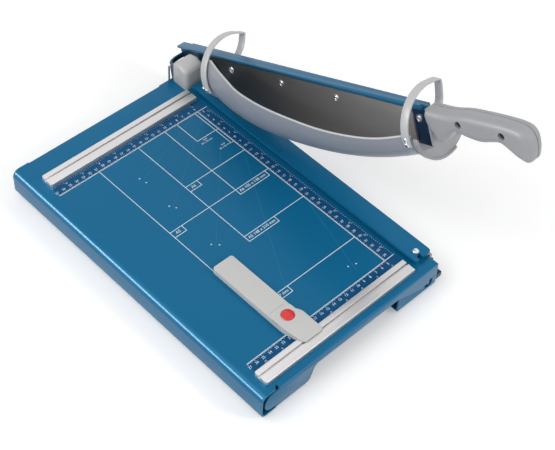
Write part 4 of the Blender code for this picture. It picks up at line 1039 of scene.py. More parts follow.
@dataclass
class TablePrint:
    """Rulers, numbers and paper formats printed on the table."""

    lift: float = 0.03 * MM
    depth: float = 0.06 * MM
    thick_line: float = 0.85 * MM
    thin_line: float = 0.78 * MM
    hair_line: float = 0.5 * MM
    tick_line: float = 0.28 * MM
    inner: float = -50 * MM
    outer: float = -34.6 * MM
    back: float = -15.8 * MM
    front: float = -346 * MM
    left: float = -270 * MM
    band_edge: float = 0.6 * MM
    decade: int = 10
    inch: float = 25.4 * MM
    eighths: int = 8
    short_tick: float = 1.3 * MM
    middle_tick: float = 2.1 * MM
    long_tick: float = 2.9 * MM
    number_size: float = 3.4 * MM
    small_size: float = 2.6 * MM
    letter_scale: float = 1.35
    letter_steps: int = 2
    side_number: Point = (3.55 * MM, 0)
    side_inch: Point = (-1.0 * MM, 2.04 * MM)
    cross_number: float = 2.7 * MM
    cross_inch: Point = (2.38 * MM, 1.04 * MM)
    label_size: float = 4.3 * MM
    label_depth: float = 9.4 * MM
    label_long: float = 48.5 * MM
    label_short: float = 18 * MM
    label_flat: tuple[float, float] = (0.7, 0.65)
    turned_flat: float = 0.8
    fan_flat: float = 0.6
    crossed_flat: float = 0.95
    formats: tuple[tuple[str, float, float], ...] = (
        ("A4 210 x 297 mm", 210 * MM, 297 * MM),
        ("A5 148 x 210 mm", 148 * MM, 210 * MM),
        ("A6 105 x 148 mm", 105 * MM, 148 * MM),
    )
    turned_formats: tuple[tuple[str, float, float], ...] = (
        ("A5", 210 * MM, 148 * MM),
        ("A6", 148 * MM, 105 * MM),
    )
    card: Point = (85 * MM, 55.5 * MM)
    card_words: tuple[str, ...] = ("card", "85 x 55 mm")
    card_inset: float = 4.4 * MM
    card_middle: float = 9.5 * MM
    card_row: float = 4.42 * MM
    card_below: float = 3.094 * MM
    card_above: float = 5.304 * MM
    fans: tuple[tuple[Point, Point], ...] = (
        ((-60 * MM, -19 * MM), (-176 * MM, -61 * MM)),
        ((-60 * MM, -34 * MM), (-180 * MM, -119 * MM)),
        ((-61 * MM, -74 * MM), (-186 * MM, -202 * MM)),
        ((-55 * MM, -110 * MM), (-164 * MM, -296 * MM)),
        ((-52 * MM, -220 * MM), (-85 * MM, -334 * MM)),
    )
    mark_places: tuple[Point, ...] = (
        (-180.5 * MM, -57.1 * MM), (-178.5 * MM, -67.3 * MM), (-182.6 * MM, -114.9 * MM),
        (-177.9 * MM, -122.4 * MM), (-184.9 * MM, -193.1 * MM), (-178.1 * MM, -200.0 * MM),
        (-88.2 * MM, -323.4 * MM), (-78.0 * MM, -326.7 * MM),
    )
    mark_size: float = 2.6 * MM

    def stroke(self, shape: BMesh, start: Point, end: Point, width: float, flat: float = 1) -> None:
        """Print a line.

        Args:
            shape: The print.
            start: Where the line starts.
            end: Where it ends.
            width: Its width.
            flat: Share of the usual thickness, less than 1 where another line runs over it.
        """
        made = bmesh.ops.create_cube(shape, size=1)["verts"]
        way = Vector(end) - Vector(start)
        middle = (Vector(start) + Vector(end)) / 2
        size = (way.length + width, width, self.depth * flat)
        turn = Matrix.Rotation(math.atan2(way.y, way.x), 4, "Z")
        place = Matrix.Translation((middle.x, middle.y, self.lift)) @ turn @ Matrix.Diagonal((*size, 1))
        bmesh.ops.transform(shape, matrix=place, verts=made)

    def lettering(self, shape: BMesh, words: str, centre: Point, size: float) -> None:
        """Print words or a number, upright for the user.

        Args:
            shape: The print.
            words: What is printed.
            centre: Middle of the words.
            size: Height of the letters.
        """
        curve = bpy.data.curves.new("lettering", "FONT")
        curve.body = words
        curve.size = size * self.letter_scale
        curve.align_x, curve.align_y = "CENTER", "CENTER"
        curve.resolution_u = self.letter_steps
        curve.extrude = self.depth / 2
        evaluated(linked("lettering", curve), shape, Matrix.Translation((*centre, self.lift)))

    def ticks(self, shape: BMesh, start: float, end: float, inches: bool,
              spot: Callable[[float, float], Point], aside: Point, size: float) -> None:
        """Print one side of a ruler.

        Args:
            shape: The print.
            start: Where the ruler starts, as a coordinate less than 0.
            end: Where it ends.
            inches: Whether it counts eighths of an inch, and not millimetres.
            spot: Finds a point from its place along the ruler and its height over the ruler's line.
            aside: Way from the tip of a tick to the middle of its number.
            size: Height of the numbers.
        """
        step, numbered = (self.inch / self.eighths, self.eighths) if inches else (MM, self.decade)
        for count in range(math.ceil(-start / step), int(-end / step) + 1):
            number, rest = divmod(count, numbered)
            halfway = not inches and rest == numbered // 2
            reach = self.middle_tick if halfway else self.short_tick if rest else self.long_tick
            tip = Vector(spot(-count * step, reach))
            self.stroke(shape, spot(-count * step, 0), tip, self.tick_line)
            if not rest:
                self.lettering(shape, str(number), tip + Vector(aside), size)

    def side_ruler(self, shape: BMesh) -> None:
        """Print the ruler along the blade: centimetres inside, inches outside.

        Args:
            shape: The print.
        """
        self.stroke(shape, (self.inner, self.back), (self.inner, self.front), self.thick_line)
        self.ticks(shape, self.back, self.front, False, lambda y, high: (self.inner + high, y),
                   self.side_number, self.number_size)
        self.ticks(shape, self.back, self.front, True, lambda y, high: (self.outer - high, y),
                   self.side_inch, self.small_size)

    def cross_ruler(self, shape: BMesh, base: float, far: float) -> None:
        """Print a ruler across the table.

        Args:
            shape: The print.
            base: Y of its base line, which carries the centimetres.
            far: Y of its other side, which carries the inches.
        """
        way = 1 if far > base else -1
        self.stroke(shape, (self.left, base), (self.inner, base), self.thick_line)
        self.ticks(shape, self.inner, self.left, False, lambda x, high: (x, base + way * high),
                   (0, way * self.cross_number), self.number_size)
        right, over = self.cross_inch
        self.ticks(shape, self.inner, self.left, True, lambda x, high: (x, far - way * high),
                   (right, -way * over), self.small_size)

    def corner(self, shape: BMesh, width: float, length: float, flat: float) -> None:
        """Print the two lines of a paper format, from the cut and from the stop."""
        self.stroke(shape, (-width, self.back), (-width, -length), self.thin_line, flat)
        self.stroke(shape, (-width, -length), (self.inner, -length), self.thin_line, flat * self.crossed_flat)

    def label(self, shape: BMesh, words: str, place: Point, reach: float) -> None:
        """Print words in a box that hangs from a format's corner.

        Args:
            shape: The print.
            words: What is printed.
            place: The corner of the format.
            reach: Length of the box.
        """
        x, y = place
        low = y - self.label_depth
        sides, under = self.label_flat
        self.stroke(shape, (x, y), (x, low), self.thin_line, sides)
        self.stroke(shape, (x, low), (x + reach, low), self.thin_line, under)
        self.stroke(shape, (x + reach, low), (x + reach, y), self.thin_line, sides)
        self.lettering(shape, words, (x + reach / 2, y - self.label_depth / 2), self.label_size)

    def cards(self, shape: BMesh) -> None:
        """Print the upright and the lying card format and their sizes.

        Args:
            shape: The print.
        """
        long, short = self.card
        right = self.inner - self.card_inset
        for x, y in ((-long, -short), (right, -long)):
            self.stroke(shape, (x, self.back), (x, y), self.thin_line)
            self.stroke(shape, (x, y), (self.inner, y), self.thin_line)
        for i, words in enumerate(self.card_words):
            down = self.card_row * i
            self.lettering(shape, words, (self.card_middle - long, -short - self.card_below - down),
                           self.small_size)
            self.lettering(shape, words, (right - self.card_middle, self.card_above - long - down),
                           self.small_size)

    def marks(self, shape: BMesh) -> None:
        """Print the marks at the ends of the slanting cuts.

        Args:
            shape: The print.
        """
        for centre in self.mark_places:
            made = bmesh.ops.create_cone(shape, cap_ends=True, segments=3, radius1=self.mark_size / 2,
                                         radius2=self.mark_size / 2, depth=self.depth)["verts"]
            bmesh.ops.translate(shape, vec=(*centre, self.lift), verts=made)

    def band(self) -> BMesh:
        """Make the darker band under the three rulers.

        Returns:
            The band.
        """
        rail_front = FRAMES.on_table("front_rail")[1].y
        edge = self.band_edge
        strips = [((self.left, self.back), (self.inner, -edge)),
                  ((self.inner, rail_front + edge), (self.outer + edge, -edge)),
                  ((self.left, rail_front + edge), (self.inner, self.front))]
        shape = bmesh.new()
        for low, high in strips:
            merged(shape, block((*low, -self.lift), (*high, self.lift / 2)))
        return shape

    def build(self) -> None:
        """Build the white print and the band under the rulers."""
        rail_front = FRAMES.on_table("front_rail")[1].y
        shape = bmesh.new()
        self.side_ruler(shape)
        self.cross_ruler(shape, self.back, -self.band_edge)
        self.cross_ruler(shape, self.front, rail_front + self.band_edge)
        self.stroke(shape, (self.inner, self.back), (self.outer, self.back), self.thick_line)
        self.stroke(shape, (self.inner, self.front), (self.outer, self.front), self.thick_line)
        for formats, flat, reach in ((self.formats, 1, self.label_long),
                                     (self.turned_formats, self.turned_flat, self.label_short)):
            for words, width, length in formats:
                self.corner(shape, width, length, flat)
                self.label(shape, words, (-width, -length), reach)
        self.cards(shape)
        self.marks(shape)
        fans = bmesh.new()
        for start, end in self.fans:
            self.stroke(fans, start, end, self.hair_line, self.fan_flat)
        piece("slanting_lines", fans, Finish.FAINT_PRINT, "base", FRAMES.table)
        piece("ruler_bands", self.band(), Finish.BAND, "base", FRAMES.table)
        piece("rulers_and_formats", shape, Finish.PRINT, "base", FRAMES.table)


# Rails, clamp bar and cover


@dataclass
class Rails:
    """Drawn aluminium rails with a groove."""

    groove_from_user: float = 12 * MM
    groove_width: float = 2.6 * MM
    groove_depth: float = 3.8 * MM
    corner: float = 2.5 * MM
    corner_round: float = 0.7 * MM
    edge: float = 0.25 * MM

    def rail(self, node: str, name: str) -> None:
        """Build one rail.

        Args:
            node: CAD node that it replaces.
            name: Name of the piece.
        """
        low, high = FRAMES.on_table(node)
        near, top = low.y, high.z
        groove = near + self.groove_from_user
        half = self.groove_width / 2
        floor = top - self.groove_depth
        round_over = self.corner_round
        points = [(near, low.z), (high.y, low.z), (high.y, top), (groove + half, top), (groove + half, floor),
                  (groove - half, floor), (groove - half, top), (near, top)]
        radii = [0, 0, round_over, round_over / 2, 0, 0, round_over / 2, round_over]
        bar = plate(Axis.X, points, low.x, high.x, radii)
        right = high.x + BEYOND
        plan = plate(Axis.Z, [(low.x, low.y), (right, low.y), (right, high.y), (low.x, high.y)],
                     low.z - BEYOND, top + BEYOND, [self.corner, 0, 0, self.corner])
        bar = soften(combine(bar, [plan], "INTERSECT"), self.edge)
        piece(name, bar, Finish.ALUMINIUM, "base", FRAMES.table, (node,))

    def build(self) -> None:
        """Build both rails."""
        self.rail("back_rail", "back_rail_profile")
        self.rail("front_rail", "front_rail_profile")


@dataclass
class PivotCover:
    """Soft-edged moulded cover over the pivot, open below and behind."""

    wall: float = 2 * MM
    front_height: float = 29 * MM
    back_height: float = 31 * MM
    ridge_from_front: float = 14 * MM
    lean: float = 1.5 * MM
    rounding: float = 5.5 * MM
    rounding_steps: int = 8
    rounding_from: float = 8
    lip: float = 0.4 * MM

    def outline(self, wall: float, past: float) -> list[Point]:
        """Draw the side outline.

        Args:
            wall: How far it is drawn in.
            past: How far it runs past the open sides.

        Returns:
            Its corners in Y and Z.
        """
        low, high = FRAMES.on_table("pivot_cover")
        return [(low.y + wall, low.z - past), (low.y + self.lean + wall, self.front_height - wall),
                (low.y + self.ridge_from_front, high.z - wall), (high.y + past, self.back_height - wall),
                (high.y + past, low.z - past)]

    def build(self) -> None:
        """Build the cover."""
        low, high = FRAMES.on_table("pivot_cover")
        shape = plate(Axis.X, self.outline(0, 0), low.x, high.x)
        soften(shape, self.rounding, self.rounding_steps, self.rounding_from,
               lambda edge: not lies_at(edge, Axis.Z, low.z) and not lies_at(edge, Axis.Y, high.y))
        wall = self.wall
        shape = combine(shape, [plate(Axis.X, self.outline(wall, BEYOND), low.x + wall, high.x - wall)])
        soften(shape, self.lip)
        piece("pivot_cover_shell", shape, Finish.COVER, "base", FRAMES.table, ("pivot_cover",), flat=42)


# Back gauge


@dataclass
class BackGauge:
    """Sliding back gauge with a raised head, and its release button."""

    width: float = 30 * MM
    head_length: float = 54 * MM
    flare: float = 4 * MM
    flare_length: float = 30 * MM
    scoop: float = 6 * MM
    scoop_length: float = 22 * MM
    sweep: float = 14 * MM
    corner: float = 3.5 * MM
    edge: float = 1.3 * MM
    corner_steps: int = 10
    edge_steps: int = 4
    heel_gap: float = 0.3 * MM
    arm_top: float = 8 * MM
    head_low: float = 6.9 * MM
    button_from_left: float = 17 * MM
    button_from_front: float = 39.5 * MM
    button_radius: float = 8 * MM
    button_gap: float = 0.35 * MM
    button_edge: float = 1 * MM
    button_steps: int = 5
    button_sides: int = 64
    bore_floor: float = 1.6 * MM
    dome: float = 1.4 * MM
    dome_shares: tuple[Point, ...] = ((0, 0), (0.3, 0.12), (0.6, 0.45))

    def button_place(self) -> Point:
        """Middle of the button in plan."""
        low = FRAMES.on_table("gauge_arm")[0]
        return low.x + self.button_from_left, low.y + self.button_from_front

    def build_arm(self) -> None:
        """Build the gauge's arm and head."""
        low, high = FRAMES.on_table("gauge_arm")
        rail_back = FRAMES.on_table("front_rail")[1].y
        heel = rail_back + self.heel_gap
        left, right, flare = low.x, low.x + self.width, low.x + self.width + self.flare
        flare_back = heel + self.flare_length
        sweep, corner, waist = self.sweep, self.corner, left + self.scoop
        solids = []
        for front, back, under, top, near, far in (
                (heel, high.y, low.z, self.arm_top, 0, corner),
                (low.y, low.y + self.head_length, self.head_low, high.z, corner, corner * 2)):
            solid = plate(Axis.Z, [(waist, front), (flare, front), (flare, flare_back - self.flare),
                                   (right, flare_back), (right, back), (left, back),
                                   (left, low.y + self.scoop_length)],
                          under, top, [near, near, sweep, sweep, far, far, sweep], self.corner_steps)
            solids.append(soften(solid, self.edge, self.edge_steps,
                                 chosen=lambda edge: lies_at(edge, Axis.Z, top)))
        x, y = self.button_place()
        bore = rod(Vector((x, y, self.bore_floor)), Vector((x, y, high.z + BEYOND)),
                   self.button_radius + self.button_gap, self.button_sides)
        shape = combine(combine(solids[0], solids[1:], "UNION"), [bore])
        piece("gauge_body", shape, Finish.PALE_PLASTIC, "gauge", FRAMES.table, ("gauge_arm",), flat=40)

    def build_button(self) -> None:
        """Build the button with a domed top."""
        low, high = FRAMES.on_table("gauge_button")
        radius, edge = self.button_radius, self.button_edge
        turns = [math.pi / 2 * k / self.button_steps for k in range(self.button_steps + 1)]
        rim = [(radius - edge * (1 - math.sin(a)), high.z - self.dome - edge * (1 - math.cos(a)))
               for a in turns]
        profile = [*((radius * out, high.z - self.dome * down) for out, down in self.dome_shares),
                   *rim, (radius, low.z), (0, low.z)]
        shape = turned(profile, Matrix.Translation((*self.button_place(), 0)), self.button_sides)
        piece("release_button", shape, Finish.RED_PLASTIC, "button", FRAMES.table, ("gauge_button",), flat=50)

    def build(self) -> None:
        """Build the gauge and its button."""
        self.build_arm()
        self.build_button()


# Blade arm


@dataclass
class BladeArm:
    """Arm profile with its top flange, the curved blade and the blade's screws."""

    edge: float = 0.6 * MM
    flange_low: float = 47.7 * MM
    blade_start: float = 36 * MM
    blade_end: float = 404 * MM
    blade_left: float = 0.3 * MM
    blade_thick: float = 2.5 * MM
    blade_top: float = 46.5 * MM
    end_height: float = 4.2 * MM
    belly: float = 24 * MM
    steps: int = 72
    ground: float = 0.9 * MM
    screw_height: float = 34.5 * MM
    screw_places: tuple[float, ...] = (86 * MM, 183 * MM, 281 * MM, 411 * MM)
    web_left: float = 3.1 * MM
    shank_radius: float = 2.5 * MM
    seat_radius: float = 4.5 * MM
    head_radius: float = 3.1 * MM
    head_rise: float = 0.9 * MM
    head_shares: tuple[Point, ...] = ((0, 0.55), (0.42, 0.5), (0.5, 0.95), (0.85, 0.8), (1, 0.3))
    seat_shares: tuple[Point, ...] = ((0.86, 0.5), (0.95, 0.55))
    seat_inner: float = 3.69 * MM
    seat_floor: float = 0.06 * MM
    seat_edge: float = 0.2 * MM
    screw_sides: int = 40

    def build_blade(self) -> None:
        """Build the blade, with a belly along its cutting edge and a ground strip."""
        edge = []
        for i in range(self.steps + 1):
            t = i / self.steps
            along = self.blade_start + (self.blade_end - self.blade_start) * t
            edge.append((-along, self.end_height - self.belly * (1 - (2 * t - 1) ** 2)))
        outline = [*edge, (-self.blade_end, self.blade_top), (-self.blade_start, self.blade_top)]
        right = self.blade_left + self.blade_thick
        shape = plate(Axis.X, outline, self.blade_left, right)
        soften(shape, self.ground, 1, chosen=lambda e: all(
            v.co.z < self.end_height + WELD and v.co.x > right - WELD for v in e.verts))
        piece("curved_blade", shape, Finish.BLADE_STEEL, "arm", FRAMES.arm, ("upper_blade",))

    def build_screws(self) -> None:
        """Build the blade's screws, each a domed head with a driver recess in a seat ring."""
        for i, along in enumerate(self.screw_places, 1):
            node = f"blade_screw_{i}"
            face = self.blade_left if along < self.blade_end else self.web_left
            tip = face + FRAMES.arm.translation.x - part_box(node)[1].x
            profile = [*((self.head_radius * out, self.head_rise * up) for out, up in self.head_shares),
                       (self.head_radius, self.seat_floor), (self.seat_inner, self.seat_floor),
                       *((self.seat_radius * out, self.head_rise * up) for out, up in self.seat_shares),
                       (self.seat_radius, self.seat_edge), (self.seat_radius, -self.seat_edge),
                       (self.shank_radius, -self.seat_edge), (self.shank_radius, tip), (0, tip)]
            turn = Matrix.Rotation(math.radians(-90), 4, "Y")
            place = Matrix.Translation((face, -along, self.screw_height)) @ turn
            piece(f"blade_screw_head_{i}", turned(profile, place, self.screw_sides), Finish.CHROME, "arm",
                  FRAMES.arm, (node,), flat=50)

    def build(self) -> None:
        """Build the arm's pieces: the web in dark paint and the top flange in a lighter copy of the blue as a
        painted sheen.
        """
        # The top flange gets a lighter copy of the arm's blue as a painted sheen over the darker web
        for name, side, finish in (("arm_web", -1, Finish.DARK_PAINT),
                                   ("arm_top_flange", 1, Finish.ARM_TOP)):
            shape = softened_node("arm_bar", self.edge)
            across = FRAMES.arm.to_3x3() @ Vector((0, 0, side))
            split_at(shape, FRAMES.arm @ Vector((0, 0, self.flange_low)), across, clear=True)
            bmesh.ops.holes_fill(shape, edges=[edge for edge in shape.edges if edge.is_boundary], sides=0)
            piece(name, outward(shape), finish, "arm", Matrix.Identity(4), ("arm_bar",) if side < 0 else ())
        self.build_blade()
        self.build_screws()


# Guard


@dataclass(frozen=True)
class Hoop:
    """Sizes of one hoop of the guard."""

    name: str
    start: float
    radius: float
    tall: float
    tip: float
    leg: tuple[Point, ...]


@dataclass
class BladeGuard:
    """Barrel-shaped guard with its rim bead, drawn lighter than the shell as a painted highlight, and its hoops
    and rivets.
    """

    start: float = 68.4 * MM
    end: float = 425 * MM
    wall: float = 1.6 * MM
    rear_radius: float = 43.5 * MM
    front_radius: float = 39.2 * MM
    belly_radius: float = 66 * MM
    belly_at: float = 234 * MM
    belly_rear: float = 155 * MM
    belly_front: float = 178 * MM
    belly_power: float = 2.4
    rim: tuple[Point, ...] = ((0.0, 141), (0.03, 140), (0.06, 144), (0.12, 152), (0.18, 159), (0.24, 166.5),
                              (0.34, 173), (0.43, 177), (0.55, 181), (0.65, 184.5), (0.78, 187.5),
                              (0.85, 188), (0.9, 186.5), (0.96, 182), (1.0, 178))
    tail: tuple[Point, ...] = ((0.0, 208), (0.1, 226), (0.2, 243), (0.3, 258), (0.4, 271), (0.5, 283),
                               (0.6, 290), (1.0, 291))
    grid: tuple[int, int] = (110, 36)
    bead_radius: float = 1.3 * MM
    bead_steps: int = 4
    hoop_thick: float = 2 * MM
    hoop_width: float = 11 * MM
    hoop_first: float = 197
    hoop_steps: int = 40
    leg_steps: int = 24
    hoops: tuple[Hoop, ...] = (
        Hoop("rear", 67.5 * MM, 46 * MM, 1.0, 57,
             ((0.655, 0.79), (0.61, 0.68), (0.545, 0.54), (0.43, 0.39), (0.27, 0.245), (0.04, 0.03))),
        Hoop("front", 415 * MM, 41 * MM, 1.1, 82,
             ((0.43, 1.04), (0.535, 0.965), (0.51, 0.7), (0.45, 0.43), (0.34, 0.25), (0.195, 0.142),
              (0.037, 0.027))),
    )
    eye_radius: float = 3.9 * MM
    eye_hole: float = 2.3 * MM
    eye_edge: float = 0.3 * MM
    hoop_edge: float = 0.45 * MM

    def radius(self, along: float) -> float:
        """Work out the shell's outer radius.

        Args:
            along: Distance ahead of the pivot.

        Returns:
            The radius there.
        """
        behind = along < self.belly_at
        reach = self.belly_rear if behind else self.belly_front
        end = self.rear_radius if behind else self.front_radius
        swell = max(0.0, 1 - (abs(along - self.belly_at) / reach) ** self.belly_power)
        return end + (self.belly_radius - end) * swell

    def point(self, share: float, degrees: float, deeper: float = 0.0) -> Vector:
        """Find a point of the shell.

        Args:
            share: Share of its length, from the pivot's end.
            degrees: Angle round the guard's axis.
            deeper: How far it lies inside the outer face.

        Returns:
            The point in the guard's frame.
        """
        along = self.start + (self.end - self.start) * share
        radius = self.radius(along) - deeper
        angle = math.radians(degrees)
        return Vector((radius * math.cos(angle), -along, radius * math.sin(angle)))

    def build_shell(self) -> None:
        """Build the shell with a bead along its rim, in the lighter hoop finish as a painted highlight."""
        shape = bmesh.new()
        bmesh.ops.create_grid(shape, x_segments=self.grid[0], y_segments=self.grid[1], size=0.5)
        for vert in shape.verts:
            share, turn = vert.co.x + 0.5, vert.co.y + 0.5
            rim, tail = smooth_value(self.rim, share), smooth_value(self.tail, share)
            vert.co = self.point(share, rim + (tail - rim) * turn)
        shape.normal_update()
        shape.faces.ensure_lookup_table()
        face = shape.faces[0]
        centre = face.calc_center_median()
        if face.normal.dot(Vector((centre.x, 0, centre.z))) < 0:
            bmesh.ops.reverse_faces(shape, faces=shape.faces)
        shape = walled(shape, self.wall)
        # The rim bead is given the lighter hoop finish as a painted highlight along the shell's rim
        piece("guard_rim_highlight_bead", self.bead(), Finish.HOOP, "guard", FRAMES.guard)
        piece("barrel_guard", shape, Finish.GREY_PLASTIC, "guard", FRAMES.guard, ("guard_shell",), flat=60)

    def bead(self) -> BMesh:
        """Make the round bead that runs along the shell's upper rim.

        Returns:
            The bead.
        """
        count = self.grid[0]
        curve = bpy.data.curves.new("bead", "CURVE")
        curve.dimensions = "3D"
        curve.bevel_depth = self.bead_radius
        curve.bevel_resolution = self.bead_steps
        curve.use_fill_caps = True
        spline = curve.splines.new("POLY")
        spline.points.add(count)
        for i, point in enumerate(spline.points):
            share = i / count
            point.co = (*self.point(share, smooth_value(self.rim, share), self.wall / 2), 1)
        made = bmesh.new()
        evaluated(linked("bead", curve), made)
        bmesh.ops.remove_doubles(made, verts=made.verts, dist=WELD)
        return outward(made)

    def build_hoop(self, hoop: Hoop) -> None:
        """Build one hoop: a strap bent over the arm, with an eye at its foot.

        Args:
            hoop: The hoop's sizes.
        """
        shape = bmesh.new()
        first, last = math.radians(self.hoop_first), math.radians(hoop.tip)
        radius, far = hoop.radius, hoop.start + self.hoop_width
        verts = [shape.verts.new((radius * math.cos(first), -along, radius * math.sin(first)))
                 for along in (hoop.start, far)]
        edge = shape.edges.new(verts)
        geom = bend(shape, [edge, *verts], (0, 0, 0), (0, 1, 0), self.hoop_first - hoop.tip, self.hoop_steps)
        bmesh.ops.scale(shape, vec=(1, 1, hoop.tall), verts=[v for v in shape.verts if v.co.z > 0])
        edges = [item for item in geom if isinstance(item, BMEdge)]
        tip = (math.cos(last), math.sin(last) * hoop.tall)
        points = [(x * radius, z * radius) for x, z in (tip, *hoop.leg)]
        table_x, table_z = (tuple((i / len(hoop.leg), point[k]) for i, point in enumerate(points))
                            for k in (0, 1))
        before = Vector((points[0][0], 0, points[0][1]))
        for i in range(1, self.leg_steps + 1):
            share = i / self.leg_steps
            here = Vector((smooth_value(table_x, share), 0, smooth_value(table_z, share)))
            edges = drawn_out(shape, edges, here - before)
            before = here
        shape = soften(outward(walled(shape, self.hoop_thick, 0.0)), self.hoop_edge)
        tube = rod(Vector((0, -far, 0)), Vector((0, -hoop.start, 0)), self.eye_radius)
        bore = rod(Vector((0, -far - BEYOND, 0)), Vector((0, BEYOND - hoop.start, 0)), self.eye_hole)
        merged(shape, soften(combine(tube, [bore]), self.eye_edge))
        piece(f"{hoop.name}_guard_hoop", shape, Finish.HOOP, "guard", FRAMES.guard, (f"{hoop.name}_hoop",),
              flat=45)

    def build(self) -> None:
        """Build the guard."""
        self.build_shell()
        for hoop in self.hoops:
            self.build_hoop(hoop)


# Handle


@dataclass
class Handle:
    """Two-part moulded handle with well rounded sides, and the curved hand guard."""

    start: float = 435.3 * MM
    length: float = 140 * MM
    low: float = 17.2 * MM
    height: float = 45 * MM
    middle: float = 4.6 * MM
    near_width: float = 15.4 * MM
    far_width: float = 9.4 * MM
    near_round: float = 9 * MM
    far_round: float = 7 * MM
    seam: float = 0.3 * MM
    seam_edge: float = 0.8 * MM
    curve_steps: int = 9
    round_steps: int = 7
    spots: int = 4
    grid: float = 2.5 * MM
    slack: float = 0.97
    shares: tuple[Point, ...] = (
        (-0.06, 0.88), (0.0, 0.88), (0.207, 0.889), (0.393, 0.978), (0.586, 1.0), (0.771, 1.0),
        (0.914, 0.956), (0.979, 0.822), (1.0, 0.622), (0.993, 0.333), (0.958, 0.09), (0.871, 0.156),
        (0.786, 0.311), (0.714, 0.422), (0.621, 0.378), (0.521, 0.311), (0.4, 0.333), (0.329, 0.378),
        (0.255, 0.38), (0.193, 0.22), (0.13, 0.03), (0.071, 0.0), (0.03, 0.2), (-0.03, 0.5))
    screw_shares: tuple[Point, ...] = ((0.336, 0.70), (0.757, 0.70))
    recess_radius: float = 4.3 * MM
    recess_depth: float = 5.2 * MM
    recess_sides: int = 40
    guard_edge: float = 0.5 * MM

    def place(self, share: Point) -> Vector:
        """Turn shares of the handle's length and height into the arm's Y and Z."""
        return Vector((-(self.start + share[0] * self.length), self.low + share[1] * self.height))

    def outline(self) -> list[Vector]:
        """Draw a smooth closed curve through the corners of the side view.

        Returns:
            Its points in the arm's Y and Z.
        """
        places = [self.place(share) for share in self.shares]
        made = []
        for i in range(len(places)):
            before, start, end, after = (places[(i + k) % len(places)] for k in (-1, 0, 1, 2))
            made += interpolate_bezier(start, start + (end - before) / 6, end - (after - start) / 6, end,
                                       self.curve_steps)[:-1]
        return [Vector(point[:2]) for point in made]

    def near_outline(self, outline: list[Vector]) -> KDTree:
        """Prepare the search for the distance to the outline.

        Args:
            outline: Points of the outline.

        Returns:
            A tree of spots along it.
        """
        spots = [a.lerp(b, k / self.spots) for a, b in zip(outline, outline[1:] + outline[:1])
                 for k in range(self.spots)]
        tree = KDTree(len(spots))
        for i, spot in enumerate(spots):
            tree.insert((*spot, 0), i)
        tree.balance()
        return tree

    def spread(self, outline: list[Vector], tree: KDTree, rounding: float) -> list[Vector]:
        """Spread points for the curved side of a half.

        Args:
            outline: Points of the outline.
            tree: Tree of spots along it.
            rounding: Radius of the rounded edge.

        Returns:
            The outline's points, rows along it across the rounding, and a grid inside.
        """
        count = len(outline)
        points = list(outline)
        for k in range(1, self.round_steps + 1):
            inset = rounding * (1 - math.cos(math.pi / 2 * k / self.round_steps))
            for i, point in enumerate(outline):
                across = (outline[(i + 1) % count] - outline[i - 1]).orthogonal().normalized()
                spots = [point + across * side * inset for side in (-1, 1)]
                points += [spot for spot in spots if tree.find((*spot, 0))[2] > inset * self.slack]
        low = [min(point[k] for point in outline) for k in (0, 1)]
        high = [max(point[k] for point in outline) for k in (0, 1)]
        for i in range(int((high[0] - low[0]) / self.grid)):
            for j in range(int((high[1] - low[1]) / self.grid)):
                spot = Vector((low[0] + (i + 0.5) * self.grid, low[1] + (j + 0.5) * self.grid))
                if tree.find((*spot, 0))[2] > rounding:
                    points.append(spot)
        return points

    def half(self, inner: float, width: float, rounding: float) -> BMesh:
        """Make one half, flat at the seam and rounded by its distance from the outline.

        Args:
            inner: X of the seam's side.
            width: How far it reaches from there, less than 0 for the near half.
            rounding: Radius of the rounded edge.

        Returns:
            The closed half.
        """
        outline = self.outline()
        tree = self.near_outline(outline)
        count = len(outline)
        edges = [(i, (i + 1) % count) for i in range(count)]
        flat, _, faces, *_ = delaunay_2d_cdt(self.spread(outline, tree, rounding), edges, [], 1, WELD)
        side = math.copysign(1, width)
        shape = bmesh.new()
        made = {}
        for k in sorted({k for face in faces for k in face}):
            deep = min(tree.find((*flat[k], 0))[2], rounding)
            rise = math.sqrt(rounding ** 2 - (rounding - deep) ** 2)
            made[k] = shape.verts.new((inner + width + side * (rise - rounding), *flat[k]))
        for face in faces:
            shape.faces.new([made[k] for k in face])
        rim = [edge for edge in shape.edges if edge.is_boundary]
        wall = drawn_out(shape, rim, (0, 0, 0))
        verts = list({vert for edge in wall for vert in edge.verts})
        bmesh.ops.scale(shape, vec=(0, 1, 1), space=Matrix.Translation((-inner, 0, 0)), verts=verts)
        bmesh.ops.holes_fill(shape, edges=wall, sides=0)
        return outward(shape)

    def build_half(self, node: str, name: str, side: int) -> None:
        """Build one half of the handle.

        Args:
            node: CAD node that it replaces.
            name: Name of the piece.
            side: -1 for the near half and 1 for the far one.
        """
        inner = self.middle + side * self.seam
        near = side < 0
        width = (self.near_width if near else self.far_width) - self.seam
        shape = self.half(inner, side * width, self.near_round if near else self.far_round)
        soften(shape, self.seam_edge, chosen=lambda edge: lies_at(edge, Axis.X, inner))
        reach = self.near_width + BEYOND
        tools = [block((self.middle - reach, -self.start, 0),
                       (self.middle + reach, -self.start + self.length / 4, self.low + 2 * self.height))]
        if near:
            outer = self.middle - self.near_width
            for share in self.screw_shares:
                y, z = self.place(share)
                tools.append(rod(Vector((outer - BEYOND, y, z)), Vector((outer + self.recess_depth, y, z)),
                                 self.recess_radius, self.recess_sides))
        piece(name, combine(shape, tools), Finish.HANDLE, "arm", FRAMES.arm, (node,), flat=40)

    def build(self) -> None:
        """Build both halves and the hand guard."""
        self.build_half("handle_left", "handle_near_half", -1)
        self.build_half("handle_right", "handle_far_half", 1)
        piece("curved_hand_guard", softened_node("hand_guard", self.guard_edge), Finish.HANDLE, "arm",
              Matrix.Identity(4), ("hand_guard",))


# Studio


